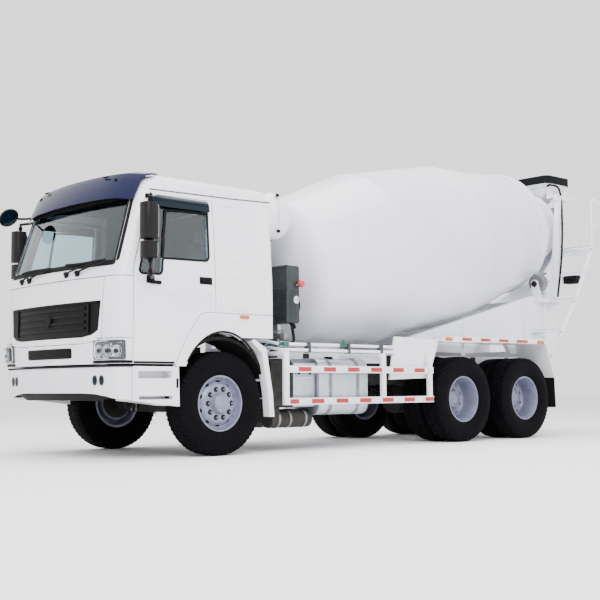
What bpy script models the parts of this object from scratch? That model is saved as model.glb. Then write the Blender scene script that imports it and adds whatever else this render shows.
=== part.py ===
"""Concrete mixer truck, 6x4 cab-over, as an assembly of named solids.

Shapes are drawn in the axle frame, in metres: X to the truck's left side, Y rearwards from
the front axle, Z up from the ground.  place() then moves each object forward by FRONT_AXLE_SHIFT,
so that the assembly's bounding box is centred on the origin.
"""
import math

import bmesh
import bpy
from mathutils import Matrix, Vector

# ---------------------------------------------------------------- driving dimensions
FRONT_AXLE_SHIFT = -3.179          # world Y of the front axle
MID_AXLE = 4.025
REAR_AXLE = 5.375
AXLE_HEIGHT = 0.5625
GAP = 0.003                        # seam between touching panels
FIT_GAP = 0.0005                   # gap between parts bolted together

TYRE_RADIUS = 0.5625
TYRE_HALF_WIDTH = 0.1575
WHEEL_SIDES = 20
FRONT_TYRE_X = 1.011
TWIN_OUTER_X = 1.090
TWIN_INNER_X = 0.740
KINGPIN_X = 0.850
TIE_ROD_Y = 0.215

CAB_HALF_WIDTH = 1.200
CAB_WALL = 0.050
CAB_REAR = 0.735
CAB_FLOOR = (1.290, 1.360)
DOOR_FRONT = -1.165
DOOR_REAR = -0.120
DOOR_SILL = 0.978
FENDER_TOP = 1.535
TILT_PIVOT = (0.0, -1.290, 0.750)
LID_HINGE = (0.0, -1.442, 1.868)
DOOR_HINGE_X = 1.204

RAIL_OUTER = 0.430
RAIL_Z = (0.760, 1.040)
FRAME_FRONT = -1.250
FRAME_REAR = 6.950
SUBFRAME_TOP = 1.160

DRUM_FOOT = (0.0, 1.900, 2.209)    # point on the drum's axis at station 0
DRUM_TILT = math.radians(11.35)
DRUM_SIDES = 32
RING_STATION = (4.475, 4.585)
RING_RADIUS = 0.940
ROLLER_RADIUS = 0.125
ROLLER_HALF = 0.070
ROLLER_ANGLE = math.radians(40.0)
TANK_REACH = 0.765

CHUTE_PIVOT = (0.0, 7.320, 1.720)
CHUTE_REST = math.radians(165.0)   # heading of the chute at rest, from +X towards +Y
CHUTE_SLOPE = math.radians(18.0)
CHUTE_HINGE = (0.100, 2.080)       # reach and height of the chute's hinge
JACK_FOOT = (0.120, 1.750)
JACK_EYE = (0.680, 1.860)


# ---------------------------------------------------------------- shape helpers
def clear_scene():
    for thing in list(bpy.data.objects):
        bpy.data.objects.remove(thing, do_unlink=True)


def tidy(bm):
    """Merge doubled points and turn every face outwards."""
    bmesh.ops.remove_doubles(bm, verts=bm.verts, dist=0.00001)
    bmesh.ops.recalc_face_normals(bm, faces=bm.faces)
    return bm


def box(low, high):
    bm = bmesh.new()
    size = [b - a for a, b in zip(low, high)]
    middle = [(a + b) / 2 for a, b in zip(low, high)]
    bmesh.ops.create_cube(bm, size=1.0, matrix=Matrix.Translation(middle) @ Matrix.Diagonal((*size, 1.0)))
    return bm


def prism(outline, across, low, high):
    """Extrude a flat outline.  across='x': outline in (y, z); 'y': in (x, z); 'z': in (x, y)."""
    at = {"x": lambda a, b, c: (c, a, b), "y": lambda a, b, c: (a, c, b), "z": lambda a, b, c: (a, b, c)}[across]
    bm = bmesh.new()
    face = bm.faces.new([bm.verts.new(at(a, b, low)) for a, b in outline])
    grown = bmesh.ops.extrude_face_region(bm, geom=[face])["geom"]
    moved = [g for g in grown if isinstance(g, bmesh.types.BMVert)]
    bmesh.ops.translate(bm, verts=moved, vec=at(0.0, 0.0, high - low))
    return tidy(bm)


def turned(profile, sides, frame, closed=True, phase=0.0):
    """Turn a profile of (station, radius) about the frame's Z axis."""
    bm = bmesh.new()
    start = Matrix.Rotation(phase, 3, "Z")
    verts = [bm.verts.new(start @ Vector((radius, 0.0, station))) for station, radius in profile]
    edges = [bm.edges.new(pair) for pair in zip(verts, verts[1:])]
    if closed:
        edges.append(bm.edges.new((verts[-1], verts[0])))
    bmesh.ops.spin(bm, geom=verts + edges, cent=(0, 0, 0), axis=(0, 0, 1),
                   angle=2 * math.pi, steps=sides, use_merge=True)
    tidy(bm)
    bmesh.ops.transform(bm, matrix=frame, verts=bm.verts)
    return tidy(bm)


def along(start, end):
    """Frame at start whose Z axis points to end."""
    turn = (Vector(end) - Vector(start)).to_track_quat("Z", "Y").to_matrix().to_4x4()
    return Matrix.Translation(start) @ turn


def rod(start, end, radius, sides=12):
    length = (Vector(end) - Vector(start)).length
    bm = bmesh.new()
    lift = Matrix.Translation((0, 0, length / 2))
    bmesh.ops.create_cone(bm, cap_ends=True, segments=sides, radius1=radius, radius2=radius,
                          depth=length, matrix=along(start, end) @ lift)
    return bm


def pipe(points, radius, sides=8):
    """Tube along a broken line, mitred at its corners."""
    curve = bpy.data.curves.new("route", "CURVE")
    curve.dimensions = "3D"
    curve.bevel_depth = radius
    curve.bevel_resolution = sides // 2 - 2
    curve.use_fill_caps = True
    spline = curve.splines.new("POLY")
    spline.points.add(len(points) - 1)
    for target, point in zip(spline.points, points):
        target.co = (*point, 1.0)
    carrier = bpy.data.objects.new("route", curve)
    bpy.context.collection.objects.link(carrier)
    bm = from_object(carrier)
    bpy.data.objects.remove(carrier, do_unlink=True)
    return tidy(bm)


def loft(rings):
    """Closed solid through rings of equal point counts, capped at both ends."""
    bm = bmesh.new()
    rows = [[bm.verts.new(point) for point in ring] for ring in rings]
    count = len(rows[0])
    for lower, upper in zip(rows, rows[1:]):
        for i in range(count):
            j = (i + 1) % count
            bm.faces.new((lower[i], lower[j], upper[j], upper[i]))
    bm.faces.new(list(reversed(rows[0])))
    bm.faces.new(rows[-1])
    return tidy(bm)


def mirrored(bm):
    """The same shape on the truck's right side."""
    copy = bm.copy()
    bmesh.ops.scale(copy, vec=(-1.0, 1.0, 1.0), verts=copy.verts)
    return tidy(copy)


def both_sides(bm):
    return [bm, mirrored(bm)]


def as_object(bm):
    mesh = bpy.data.meshes.new("shape")
    bm.to_mesh(mesh)
    carrier = bpy.data.objects.new("shape", mesh)
    bpy.context.collection.objects.link(carrier)
    return carrier


def from_object(carrier):
    graph = bpy.context.evaluated_depsgraph_get()
    mesh = bpy.data.meshes.new_from_object(carrier.evaluated_get(graph))
    bm = bmesh.new()
    bm.from_mesh(mesh)
    bpy.data.meshes.remove(mesh)
    return bm


def combine(first, others, operation):
    """Exact Boolean of one shape with each of the others in turn."""
    carriers = [as_object(bm) for bm in (first, *others)]
    for tool in carriers[1:]:
        step = carriers[0].modifiers.new("step", "BOOLEAN")
        step.operation = operation
        step.solver = "EXACT"
        step.object = tool
    result = from_object(carriers[0])
    for carrier in carriers:
        bpy.data.objects.remove(carrier, do_unlink=True)
    return result


def union(*shapes):
    return combine(shapes[0], shapes[1:], "UNION")


def cut(shape, *tools):
    return combine(shape, tools, "DIFFERENCE")


def common(shape, tool):
    return combine(shape, (tool,), "INTERSECT")


def rounded(low, high, radius, steps=3):
    """Rectangle from low to high with rounded corners, as a list of points."""
    points = []
    corners = ((high[0] - radius, high[1] - radius, 0), (low[0] + radius, high[1] - radius, 1),
               (low[0] + radius, low[1] + radius, 2), (high[0] - radius, low[1] + radius, 3))
    for a, b, quarter in corners:
        for k in range(steps + 1):
            angle = (quarter + k / steps) * math.pi / 2
            points.append((a + radius * math.cos(angle), b + radius * math.sin(angle)))
    return points


def ellipse(middle, half, sides=32):
    turns = [2 * math.pi * (k + 0.5) / sides for k in range(sides)]
    return [(middle[0] + half[0] * math.cos(t), middle[1] + half[1] * math.sin(t)) for t in turns]


# ---------------------------------------------------------------- objects and finishes
FINISHES = {                       # linear colour, roughness, metallic
    "white_paint": ((0.86, 0.87, 0.90), 0.35, 0.0),
    "drum_paint": ((0.84, 0.85, 0.89), 0.38, 0.0),
    "navy": ((0.015, 0.030, 0.110), 0.30, 0.0),
    "black_plastic": ((0.010, 0.010, 0.012), 0.55, 0.0),
    "dark_steel": ((0.035, 0.034, 0.036), 0.60, 0.3),
    "tyre": ((0.012, 0.012, 0.014), 0.85, 0.0),
    "rim_paint": ((0.52, 0.52, 0.60), 0.40, 0.5),
    "aluminium": ((0.55, 0.56, 0.60), 0.32, 1.0),
    "cooler": ((0.060, 0.080, 0.085), 0.50, 0.2),
    "hopper_rubber": ((0.018, 0.022, 0.032), 0.60, 0.0),
    "glass": ((0.010, 0.045, 0.085), 0.06, 0.0),
    "seat_cloth": ((0.045, 0.050, 0.060), 0.90, 0.0),
    "chrome_rod": ((0.70, 0.70, 0.72), 0.15, 1.0),
}
pivots = {}


def place(point):
    return Vector((point[0], point[1] + FRONT_AXLE_SHIFT, point[2]))


def add_node(name, shape, finish, pivot=(0.0, 0.0, 0.0), parent=None):
    """Object with its origin at pivot (axle frame), parented so that it follows its carrier."""
    bmesh.ops.translate(shape, verts=shape.verts, vec=-Vector(pivot))
    mesh = bpy.data.meshes.new(name)
    shape.to_mesh(mesh)
    shape.free()
    mesh.shade_smooth()
    mesh.set_sharp_from_angle(angle=math.radians(28.0))
    carrier = bpy.data.objects.new(name, mesh)
    bpy.context.collection.objects.link(carrier)
    colour, roughness, metallic = FINISHES[finish]
    material = bpy.data.materials.new(name)
    material.use_nodes = True
    shader = material.node_tree.nodes["Principled BSDF"]
    shader.inputs["Base Color"].default_value = (*colour, 1.0)
    shader.inputs["Roughness"].default_value = roughness
    shader.inputs["Metallic"].default_value = metallic
    mesh.materials.append(material)
    pivots[name] = Vector(pivot)
    if parent is None:
        carrier.location = place(pivot)
    else:
        carrier.parent = bpy.data.objects[parent]
        carrier.location = pivots[name] - pivots[parent]
    return carrier


# ---------------------------------------------------------------- wheels
FLAT_DOWN = math.pi / WHEEL_SIDES
TREAD_RADIUS = TYRE_RADIUS / math.cos(FLAT_DOWN)
TYRE_PROFILE = (                   # station across the tyre, radius
    (-0.108, 0.2855), (0.108, 0.2855), (0.112, 0.306), (TYRE_HALF_WIDTH, 0.420),
    (0.122, TREAD_RADIUS), (-0.122, TREAD_RADIUS), (-TYRE_HALF_WIDTH, 0.420), (-0.112, 0.306))
FRONT_RIM_PROFILE = (              # from the hub bore round the flanges to the hub cap
    (-0.030, 0.0), (-0.030, 0.042), (-0.098, 0.042), (-0.098, 0.205), (0.030, 0.212), (0.040, 0.256),
    (-0.118, 0.275), (-0.118, 0.302), (-0.1085, 0.285), (0.1085, 0.285), (0.118, 0.302),
    (0.118, 0.286), (0.060, 0.262), (0.100, 0.165), (0.100, 0.095), (0.165, 0.088), (0.172, 0.0))


def wheel_frame(x, y, outward):
    """Frame at a wheel's centre, Z pointing outwards."""
    return along((x, y, AXLE_HEIGHT), (x + outward, y, AXLE_HEIGHT))


def tyre(x, y, outward):
    return turned(TYRE_PROFILE, WHEEL_SIDES, wheel_frame(x, y, outward), phase=FLAT_DOWN)


def twin_wheel(y, outward):
    """Two tyres on dished rims, joined by the hub and brake drum; the dish faces outwards."""
    offset = TWIN_OUTER_X - TWIN_INNER_X
    frame = wheel_frame(outward * TWIN_OUTER_X, y, outward)
    rubber = [(station, radius) for station, radius in TYRE_PROFILE[::-1] if radius > 0.29]
    profile = [(-0.330, 0.0), (-0.330, 0.055), (-0.400, 0.055), (-0.400, 0.205), (-0.240, 0.212),
               (-0.225, 0.262), (-offset - 0.118, 0.275)]
    profile += [(station - offset, radius) for station, radius in rubber]
    profile += [(-offset + 0.112, 0.290), (-0.112, 0.290)] + rubber
    profile += [(0.118, 0.272), (0.040, 0.256), (-0.090, 0.248), (-0.150, 0.165), (-0.150, 0.118),
                (-0.050, 0.108), (-0.035, 0.0)]
    return turned(profile, WHEEL_SIDES, frame, False, FLAT_DOWN)


def build_wheels():
    for side, outward in (("left", 1), ("right", -1)):
        x = outward * FRONT_TYRE_X
        hub = (x, 0.0, AXLE_HEIGHT)
        kingpin = (outward * KINGPIN_X, 0.0, AXLE_HEIGHT)
        add_node(f"knuckle_{side}", knuckle(outward), "dark_steel", kingpin)
        rim = turned(FRONT_RIM_PROFILE, WHEEL_SIDES, wheel_frame(x, 0.0, outward), False, FLAT_DOWN)
        add_node(f"rim_front_{side}", rim, "rim_paint", hub, f"knuckle_{side}")
        add_node(f"tyre_front_{side}", tyre(x, 0.0, outward), "tyre", hub, f"rim_front_{side}")
        for axle, y in (("mid", MID_AXLE), ("rear", REAR_AXLE)):
            middle = (outward * TWIN_OUTER_X, y, AXLE_HEIGHT)
            add_node(f"twin_wheel_{axle}_{side}", twin_wheel(y, outward), "tyre", middle)


def knuckle(outward):
    """Steering knuckle: fork round the axle's end, kingpin, brake plate, stub axle and arm."""
    z = AXLE_HEIGHT
    pieces = [
        rod((0.898, 0, z), (0.908, 0, z), 0.190, 20),
        rod((0.900, 0, z), (0.975, 0, z), 0.036, 12),
        box((0.810, -0.055, z + 0.058), (0.905, 0.055, z + 0.098)),
        box((0.810, -0.055, z - 0.098), (0.905, 0.055, z - 0.058)),
        rod((KINGPIN_X, 0, z - 0.110), (KINGPIN_X, 0, z + 0.110), 0.022, 10),
        prism([(0.870, 0.020), (0.900, 0.020), (0.850, TIE_ROD_Y + 0.030), (0.800, TIE_ROD_Y + 0.030),
               (0.800, TIE_ROD_Y - 0.020)], "z", z - 0.096, z - 0.066),
    ]
    shape = union(*pieces)
    return shape if outward > 0 else mirrored(shape)


# ---------------------------------------------------------------- chassis
def channel(outer, low, high, flange, wall, start, end):
    """C-section rail open towards the truck's middle."""
    inner = outer - flange
    outline = [(inner, low), (outer, low), (outer, high), (inner, high), (inner, high - wall),
               (outer - wall, high - wall), (outer - wall, low + wall), (inner, low + wall)]
    return prism(outline, "y", start, end)


def build_chassis():
    low, high = RAIL_Z
    web = 0.012
    pieces = both_sides(channel(RAIL_OUTER, low, high, 0.080, web, FRAME_FRONT, FRAME_REAR))
    reach = RAIL_OUTER - web / 2
    for y in (-1.180, 1.900, 3.000, 3.700, 4.700, 5.900, 6.860):
        pieces.append(box((-reach, y, low + 0.050), (reach, y + 0.070, high - 0.050)))
    lug = prism([(-1.325, 0.715), (-1.325, 0.785), (-1.220, 0.880), (-1.140, 0.880), (-1.140, 0.770),
                 (-1.280, 0.712)], "x", RAIL_OUTER - 0.006, RAIL_OUTER + 0.022)
    pin_x = RAIL_OUTER + 0.010
    pin = rod((pin_x, TILT_PIVOT[1], TILT_PIVOT[2]), (0.560, TILT_PIVOT[1], TILT_PIVOT[2]), 0.016, 10)
    for y in (-0.830, 0.780):      # spring hangers
        hanger = box((RAIL_OUTER - 0.070, y, 0.690), (RAIL_OUTER + 0.030, y + 0.060, 0.830))
        pieces += both_sides(hanger)
    pieces += both_sides(lug) + both_sides(pin)
    add_node("chassis_frame", union(*pieces), "dark_steel")

    rails = both_sides(box((0.350, 1.150, high + FIT_GAP), (0.430, FRAME_REAR, SUBFRAME_TOP)))
    ties = [box((-0.360, y, high + 0.030), (0.360, y + 0.080, SUBFRAME_TOP - 0.020))
            for y in (1.200, 1.750, 2.900, 4.300, 5.600, 6.850)]
    pedestal = [box((-0.400, 1.150, 1.120), (0.400, 1.640, SUBFRAME_TOP + 0.030))]
    for y, top in ((1.190, 1.750), (1.540, 1.815)):
        plate = prism([(-0.390, 1.150), (0.390, 1.150), (0.240, top), (-0.240, top)], "y", y, y + 0.040)
        pedestal.append(plate)
    saddle_low, saddle_high = 1.760, 1.815
    pedestal.append(prism([(1.170, saddle_low - 0.040), (1.600, saddle_low + 0.045), (1.600, saddle_high + 0.025),
                           (1.170, saddle_high - 0.060)], "x", -0.230, 0.230))
    add_node("subframe", union(*rails, *ties, *pedestal), "white_paint")


def leaf_spring(x, start, end, eye, sag, half=0.038, thick=0.045):
    """Arched spring pack between two eyes, with sag at its middle."""
    count = 9
    top, bottom = [], []
    for k in range(count):
        t = k / (count - 1)
        y = start + (end - start) * t
        z = eye - sag * math.sin(math.pi * t)
        depth = thick * (0.6 + 0.9 * math.sin(math.pi * t))
        top.append((y, z))
        bottom.append((y, z - depth))
    return prism(top + bottom[::-1], "x", x - half, x + half)


def build_axles():
    z = AXLE_HEIGHT
    half = 0.050
    beam = prism([(-0.800, z - 0.045), (-0.560, z - 0.105), (0.560, z - 0.105), (0.800, z - 0.045),
                  (0.800, z + 0.045), (0.600, z + 0.040), (0.520, z - 0.015), (-0.520, z - 0.015),
                  (-0.600, z + 0.040), (-0.800, z + 0.045)], "y", -half, half)
    pieces = [beam]
    for outward in (1, -1):
        boss = rod((outward * KINGPIN_X, 0, z - 0.050), (outward * KINGPIN_X, 0, z + 0.050), 0.044, 14)
        pieces.append(boss)
        pieces.append(box((min(outward * 0.78, outward * 0.83), -0.040, z - 0.043),
                          (max(outward * 0.78, outward * 0.83), 0.040, z + 0.043)))
    pads = [box((0.375, -0.100, z - 0.060), (0.465, 0.100, z + 0.085))]
    spring = leaf_spring(0.420, -0.795, 0.775, 0.685, 0.035)
    pieces += both_sides(pads[0]) + both_sides(spring)
    holes = [rod((side * KINGPIN_X, 0, z - 0.2), (side * KINGPIN_X, 0, z + 0.2), 0.026, 12)
             for side in (1, -1)]
    add_node("front_axle", cut(union(*pieces), *holes), "dark_steel")

    tie_z = z - 0.058
    ends = 0.822
    tie = union(rod((-ends, TIE_ROD_Y, tie_z + 0.022), (ends, TIE_ROD_Y, tie_z + 0.022), 0.018, 10),
                *both_sides(rod((ends, TIE_ROD_Y, tie_z), (ends, TIE_ROD_Y, tie_z + 0.045), 0.028, 12)))
    add_node("tie_rod", tie, "dark_steel", (0.0, TIE_ROD_Y, tie_z))

    pieces = []
    for y in (MID_AXLE, REAR_AXLE):
        pieces.append(rod((-0.680, y, z), (0.680, y, z), 0.070, 14))
        pieces.append(rod((-0.750, y, z), (0.750, y, z), 0.049, 12))
        bowl = [(-0.150, 0.0), (-0.150, 0.090), (-0.090, 0.200), (0.090, 0.200), (0.150, 0.090), (0.150, 0.0)]
        pieces.append(turned(bowl, 14, along((0, y, z), (0, y - 1, z)), False, 0.1))
        pieces += both_sides(box((0.345, y - 0.090, z - 0.030), (0.455, y + 0.090, z + 0.100)))
    middle = (MID_AXLE + REAR_AXLE) / 2
    arch = leaf_spring(0.400, MID_AXLE - 0.130, REAR_AXLE + 0.130, 0.625, -0.060, half=0.045, thick=0.050)
    trunnion = box((0.340, middle - 0.110, 0.560), (0.470, middle + 0.110, RAIL_Z[0] - FIT_GAP))
    tube = rod((-0.400, middle, 0.600), (0.400, middle, 0.600), 0.055, 14)
    pieces += both_sides(arch) + both_sides(trunnion) + [tube]
    pieces.append(rod((0, MID_AXLE + 0.1, z + 0.040), (0, REAR_AXLE - 0.1, z + 0.040), 0.045, 12))
    pieces.append(rod((0, 1.130, 0.800), (0, 3.930, 0.605), 0.055, 12))
    pieces.append(rod((0, 1.110, 0.802), (0, 1.200, 0.795), 0.085, 12))
    add_node("bogie", union(*pieces), "dark_steel")

    block = union(box((-0.300, -0.700, 0.800), (0.300, 0.360, 1.200)),
                  box((-0.210, -0.620, 0.640), (0.210, 0.300, 0.820)),
                  prism(rounded((-0.230, 0.720), (0.230, 1.080), 0.080, 2), "y", 0.340, 0.780),
                  rod((0, 0.7, 0.830), (0, 1.090, 0.806), 0.130, 14))
    add_node("engine", block, "dark_steel")


# ---------------------------------------------------------------- cab body
CAB_LEVELS = (                     # height, half width, front at the middle, rear
    (0.540, 1.188, -1.435, CAB_REAR),
    (0.978, 1.192, -1.445, CAB_REAR),
    (1.250, 1.199, -1.458, CAB_REAR),
    (1.620, 1.200, -1.452, CAB_REAR),
    (1.870, 1.195, -1.430, CAB_REAR),
    (2.000, 1.188, -1.390, CAB_REAR),
    (2.400, 1.162, -1.268, CAB_REAR),
    (2.780, 1.128, -1.150, CAB_REAR),
    (2.880, 1.108, -1.085, CAB_REAR - 0.004),
    (2.945, 1.070, -1.000, CAB_REAR - 0.022),
    (2.985, 0.960, -0.860, CAB_REAR - 0.090),
)
FRONT_BOW = 0.078
CORNER = 0.170


def cab_ring(level, inset=0.0):
    """Plan outline of the cab at one height: bowed front, rounded corners, square back."""
    z, width, front, rear = level
    width, front, rear = width - inset, front + inset, rear - inset
    radius = max(CORNER - inset, 0.05)
    flat = width - radius
    half = [(flat * t, front + FRONT_BOW * t * t) for t in (0.0, 0.36, 0.70, 1.0)]
    side = front + FRONT_BOW + radius
    for k in (1, 2, 3, 4, 5):
        angle = k * math.pi / 10
        half.append((flat + radius * math.sin(angle), side - radius * math.cos(angle)))
    half += [(width, rear - 0.050), (width - 0.050, rear)]
    return [(x, y, z) for x, y in half] + [(-x, y, z) for x, y in reversed(half[1:])]


def cab_level(z):
    """Outline values at any height, read between the levels."""
    for lower, upper in zip(CAB_LEVELS, CAB_LEVELS[1:]):
        if lower[0] <= z <= upper[0]:
            t = (z - lower[0]) / (upper[0] - lower[0])
            return tuple(a + (b - a) * t for a, b in zip(lower, upper))
    return CAB_LEVELS[-1]


def cab_body(low, high, inset=0.0):
    """Solid of the cab between two heights, inset from its outer skin."""
    heights = [low] + [row[0] for row in CAB_LEVELS if low + 0.001 < row[0] < high - 0.001] + [high]
    return loft([cab_ring(cab_level(z), inset) for z in heights])


def cab_skin(low, high, outer=0.0, inner=CAB_WALL):
    """Wall between two insets of the cab's surface, open at its top and bottom."""
    tool = cab_body(low, high, inner)
    top = max(v.co.z for v in tool.verts)
    for v in tool.verts:
        if v.co.z > top - 0.0005:
            v.co.z += 0.02
        if v.co.z < low + 0.0005:
            v.co.z -= 0.02
    return cut(cab_body(low, high, outer), tool)


DOOR_OUTLINE = (
    (DOOR_FRONT, DOOR_SILL), (-0.640, DOOR_SILL), (-0.565, 1.140), (-0.480, 1.290), (-0.400, 1.410),
    (-0.330, 1.500), (-0.270, FENDER_TOP), (DOOR_REAR, FENDER_TOP), (DOOR_REAR, 2.745),
    (-0.930, 2.735), (-1.148, 2.000), (DOOR_FRONT, 1.900))
WINDOW_OUTLINE = (
    (-1.092, 1.925), (-1.067, 1.900), (-0.840, 1.905), (-0.815, 1.930), (-0.800, 2.075),
    (-0.230, 2.085), (-0.200, 2.115), (-0.195, 2.660), (-0.225, 2.690), (-0.880, 2.690), (-0.908, 2.665))
WINDSCREEN_OUTLINE = (
    (-0.960, 1.985), (0.960, 1.985), (1.030, 2.010), (1.060, 2.070), (1.055, 2.150), (1.000, 2.700),
    (0.960, 2.745), (-0.960, 2.745), (-1.000, 2.700), (-1.055, 2.150), (-1.060, 2.070), (-1.030, 2.010))
LID_OUTLINE = ((-0.965, 1.238), (-0.880, 1.212), (-0.640, 1.190), (0.640, 1.190), (0.880, 1.212),
               (0.965, 1.238), (0.965, 1.862), (-0.965, 1.862))
GRILLE_OUTLINE = ((-0.905, 1.320), (-0.800, 1.272), (-0.640, 1.252), (0.640, 1.252), (0.800, 1.272),
                  (0.905, 1.320), (0.940, 1.622), (-0.940, 1.622))
HEADLIGHT_TOP = ((-1.300, 1.238), (-0.965, 1.238), (-0.880, 1.212), (-0.640, 1.190), (0.640, 1.190),
                 (0.880, 1.212), (0.965, 1.238), (1.300, 1.238), (1.300, 0.900), (-1.300, 0.900))


def shrink(outline, gap):
    """Move each edge of an outline inwards by gap (either winding)."""
    count = len(outline)
    area = sum(a[0] * b[1] - b[0] * a[1] for a, b in zip(outline, outline[1:] + outline[:1]))
    sign = 1.0 if area > 0 else -1.0
    result = []
    for i in range(count):
        before, here, after = (Vector(outline[(i + k) % count]) for k in (-1, 0, 1))
        first, second = (here - before).normalized(), (after - here).normalized()
        inward = [sign * Vector((-d.y, d.x)) for d in (first, second)]
        bisector = inward[0] + inward[1]
        result.append(tuple(here + bisector * (gap / (1.0 + inward[0].dot(inward[1])))))
    return result


def side_tool(outline, gap=0.0):
    """Prism through the left wall only."""
    points = shrink(list(outline), gap) if gap else list(outline)
    return prism(points, "x", 1.055, 1.400)


def front_tool(outline, gap=0.0):
    points = shrink(list(outline), gap) if gap else list(outline)
    return prism(points, "y", -1.700, -0.960)


def arch_tool(low_x, high_x, grow=0.0):
    """Opening over the front wheel."""
    return prism(ellipse((-0.005, AXLE_HEIGHT), (0.585 + grow, 0.764 + grow), 40), "x", low_x, high_x)


FENDER_OUTLINE = (
    (-0.640 + GAP, DOOR_SILL), (-0.565 + GAP, 1.140), (-0.480 + GAP, 1.290), (-0.400 + GAP, 1.410),
    (-0.330 + GAP, 1.500 - GAP), (-0.270, FENDER_TOP - GAP), (0.900, FENDER_TOP - GAP), (0.900, 1.275),
    (0.250, 1.275), (0.250, 0.900), (-0.640 + GAP, 0.900))


def tilt_arm():
    """Gooseneck arm from the tilt pivot up to the cab floor."""
    y, z = TILT_PIVOT[1:]
    outline = [(y - 0.034, z + 0.012), (y - 0.025, z - 0.026), (y + 0.010, z - 0.034), (-1.060, 0.930),
               (-1.010, 1.320), (-1.110, 1.320), (-1.130, 1.000), (y + 0.010, z + 0.036)]
    arm = prism(outline, "x", 0.466, 0.534)
    return cut(arm, rod((0.4, y, z), (0.6, y, z), 0.020, 12))


def build_cab():
    wall = cab_body(DOOR_SILL, CAB_LEVELS[-1][0])
    room = cab_body(CAB_FLOOR[1], 2.935, CAB_WALL)
    well = cab_body(0.900, CAB_FLOOR[0], CAB_WALL)
    shell = cut(wall, room, well)
    tunnel_outer = box((-0.460, -0.930, 1.300), (0.460, 0.300, 1.560))
    tunnel_inner = box((-0.410, -0.880, 1.200), (0.410, 0.250, 1.510))
    firewall = box((-1.120, -1.285, 1.300), (1.120, -1.245, 1.900))
    cowl = box((-1.030, -1.345, 1.872), (1.030, -1.245, 1.905))
    shell = cut(union(shell, tunnel_outer, firewall, cowl), tunnel_inner)
    open_below = box((-1.300, -0.450, 0.800), (1.300, 0.900, 1.275))
    tools = [open_below, front_tool(WINDSCREEN_OUTLINE), front_tool(HEADLIGHT_TOP, -GAP / 2),
             prism(shrink(list(LID_OUTLINE), -GAP), "y", -1.700, -1.290)]
    low_front = prism([(-0.700, 0.900), (0.260, 0.900), (0.260, 1.276), (-0.700, 1.276)], "x", -1.30, 1.30)
    tools.append(low_front)
    for tool in (side_tool(DOOR_OUTLINE, -GAP), side_tool(shrink(list(FENDER_OUTLINE), -GAP)),
                 arch_tool(0.780, 1.300)):
        tools += both_sides(tool)
    shell = cut(shell, *tools)
    shell = union(shell, *both_sides(tilt_arm()))
    add_node("cab_shell", shell, "white_paint", TILT_PIVOT)

    glass_band = cab_skin(1.700, 2.900, 0.014, 0.026)
    screen = common(glass_band, front_tool(WINDSCREEN_OUTLINE, 0.004))
    add_node("windscreen", screen, "glass", TILT_PIVOT, "cab_shell")
    panel = common(cab_skin(DOOR_SILL, 1.400), front_tool(HEADLIGHT_TOP, GAP / 2))
    panel = common(panel, box((-1.300, -1.700, 0.900), (1.300, DOOR_FRONT - GAP, 1.500)))
    add_node("headlight_panel", panel, "white_paint", TILT_PIVOT, "cab_shell")
    skin = cab_skin(1.100, 1.990)
    lid = common(skin, prism(LID_OUTLINE, "y", -1.700, -1.290))
    lid = cut(lid, prism(GRILLE_OUTLINE, "y", -1.700, -1.290))
    add_node("front_lid", lid, "white_paint", LID_HINGE, "cab_shell")
    grille_band = cab_skin(1.100, 1.990, 0.012, 0.042)
    grille = common(grille_band, prism(shrink(list(GRILLE_OUTLINE), GAP), "y", -1.700, -1.290))
    add_node("grille", grille, "black_plastic", LID_HINGE, "front_lid")

    side_skin = cab_skin(DOOR_SILL - 0.020, 2.880)
    door = common(side_skin, side_tool(DOOR_OUTLINE))
    door = cut(door, side_tool(WINDOW_OUTLINE))
    pane = common(glass_band, side_tool(WINDOW_OUTLINE, 0.003))
    fender = common(side_skin, side_tool(FENDER_OUTLINE))
    fender = cut(fender, arch_tool(0.780, 1.300), box((0.9, CAB_REAR, 1.0), (1.3, 1.0, 1.7)))
    mirror = build_mirror()
    for side, outward in (("left", 1), ("right", -1)):
        hinge = (outward * DOOR_HINGE_X, DOOR_FRONT, 1.800)
        flip = (lambda bm: bm.copy()) if outward > 0 else mirrored
        add_node(f"fender_{side}", flip(fender), "white_paint", TILT_PIVOT, "cab_shell")
        add_node(f"door_{side}", flip(door), "white_paint", hinge, "cab_shell")
        add_node(f"door_glass_{side}", flip(pane), "glass", hinge, f"door_{side}")
        add_node(f"mirror_{side}", flip(mirror), "black_plastic", hinge, f"door_{side}")
    build_visor()
    build_interior()


def build_mirror():
    """Main and wide-angle mirror housings on one upright between two door brackets."""
    x, y = 1.360, -1.075
    upper = prism(rounded((x - 0.085, y - 0.095), (x + 0.085, y + 0.055), 0.045, 2), "z", 2.230, 2.600)
    lower = prism(rounded((x - 0.080, y - 0.090), (x + 0.080, y + 0.050), 0.040, 2), "z", 2.035, 2.205)
    upright = rod((x, y, 1.850), (x, y, 2.700), 0.014, 8)
    top_arm = pipe([(x, y, 2.690), (1.250, -0.990, 2.700), (1.147, -0.960, 2.712)], 0.016, 8)
    low_arm = pipe([(x, y, 1.860), (1.290, -1.000, 1.850), (1.212, -0.965, 1.845)], 0.018, 8)
    return union(upper, lower, upright, top_arm, low_arm)


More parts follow.
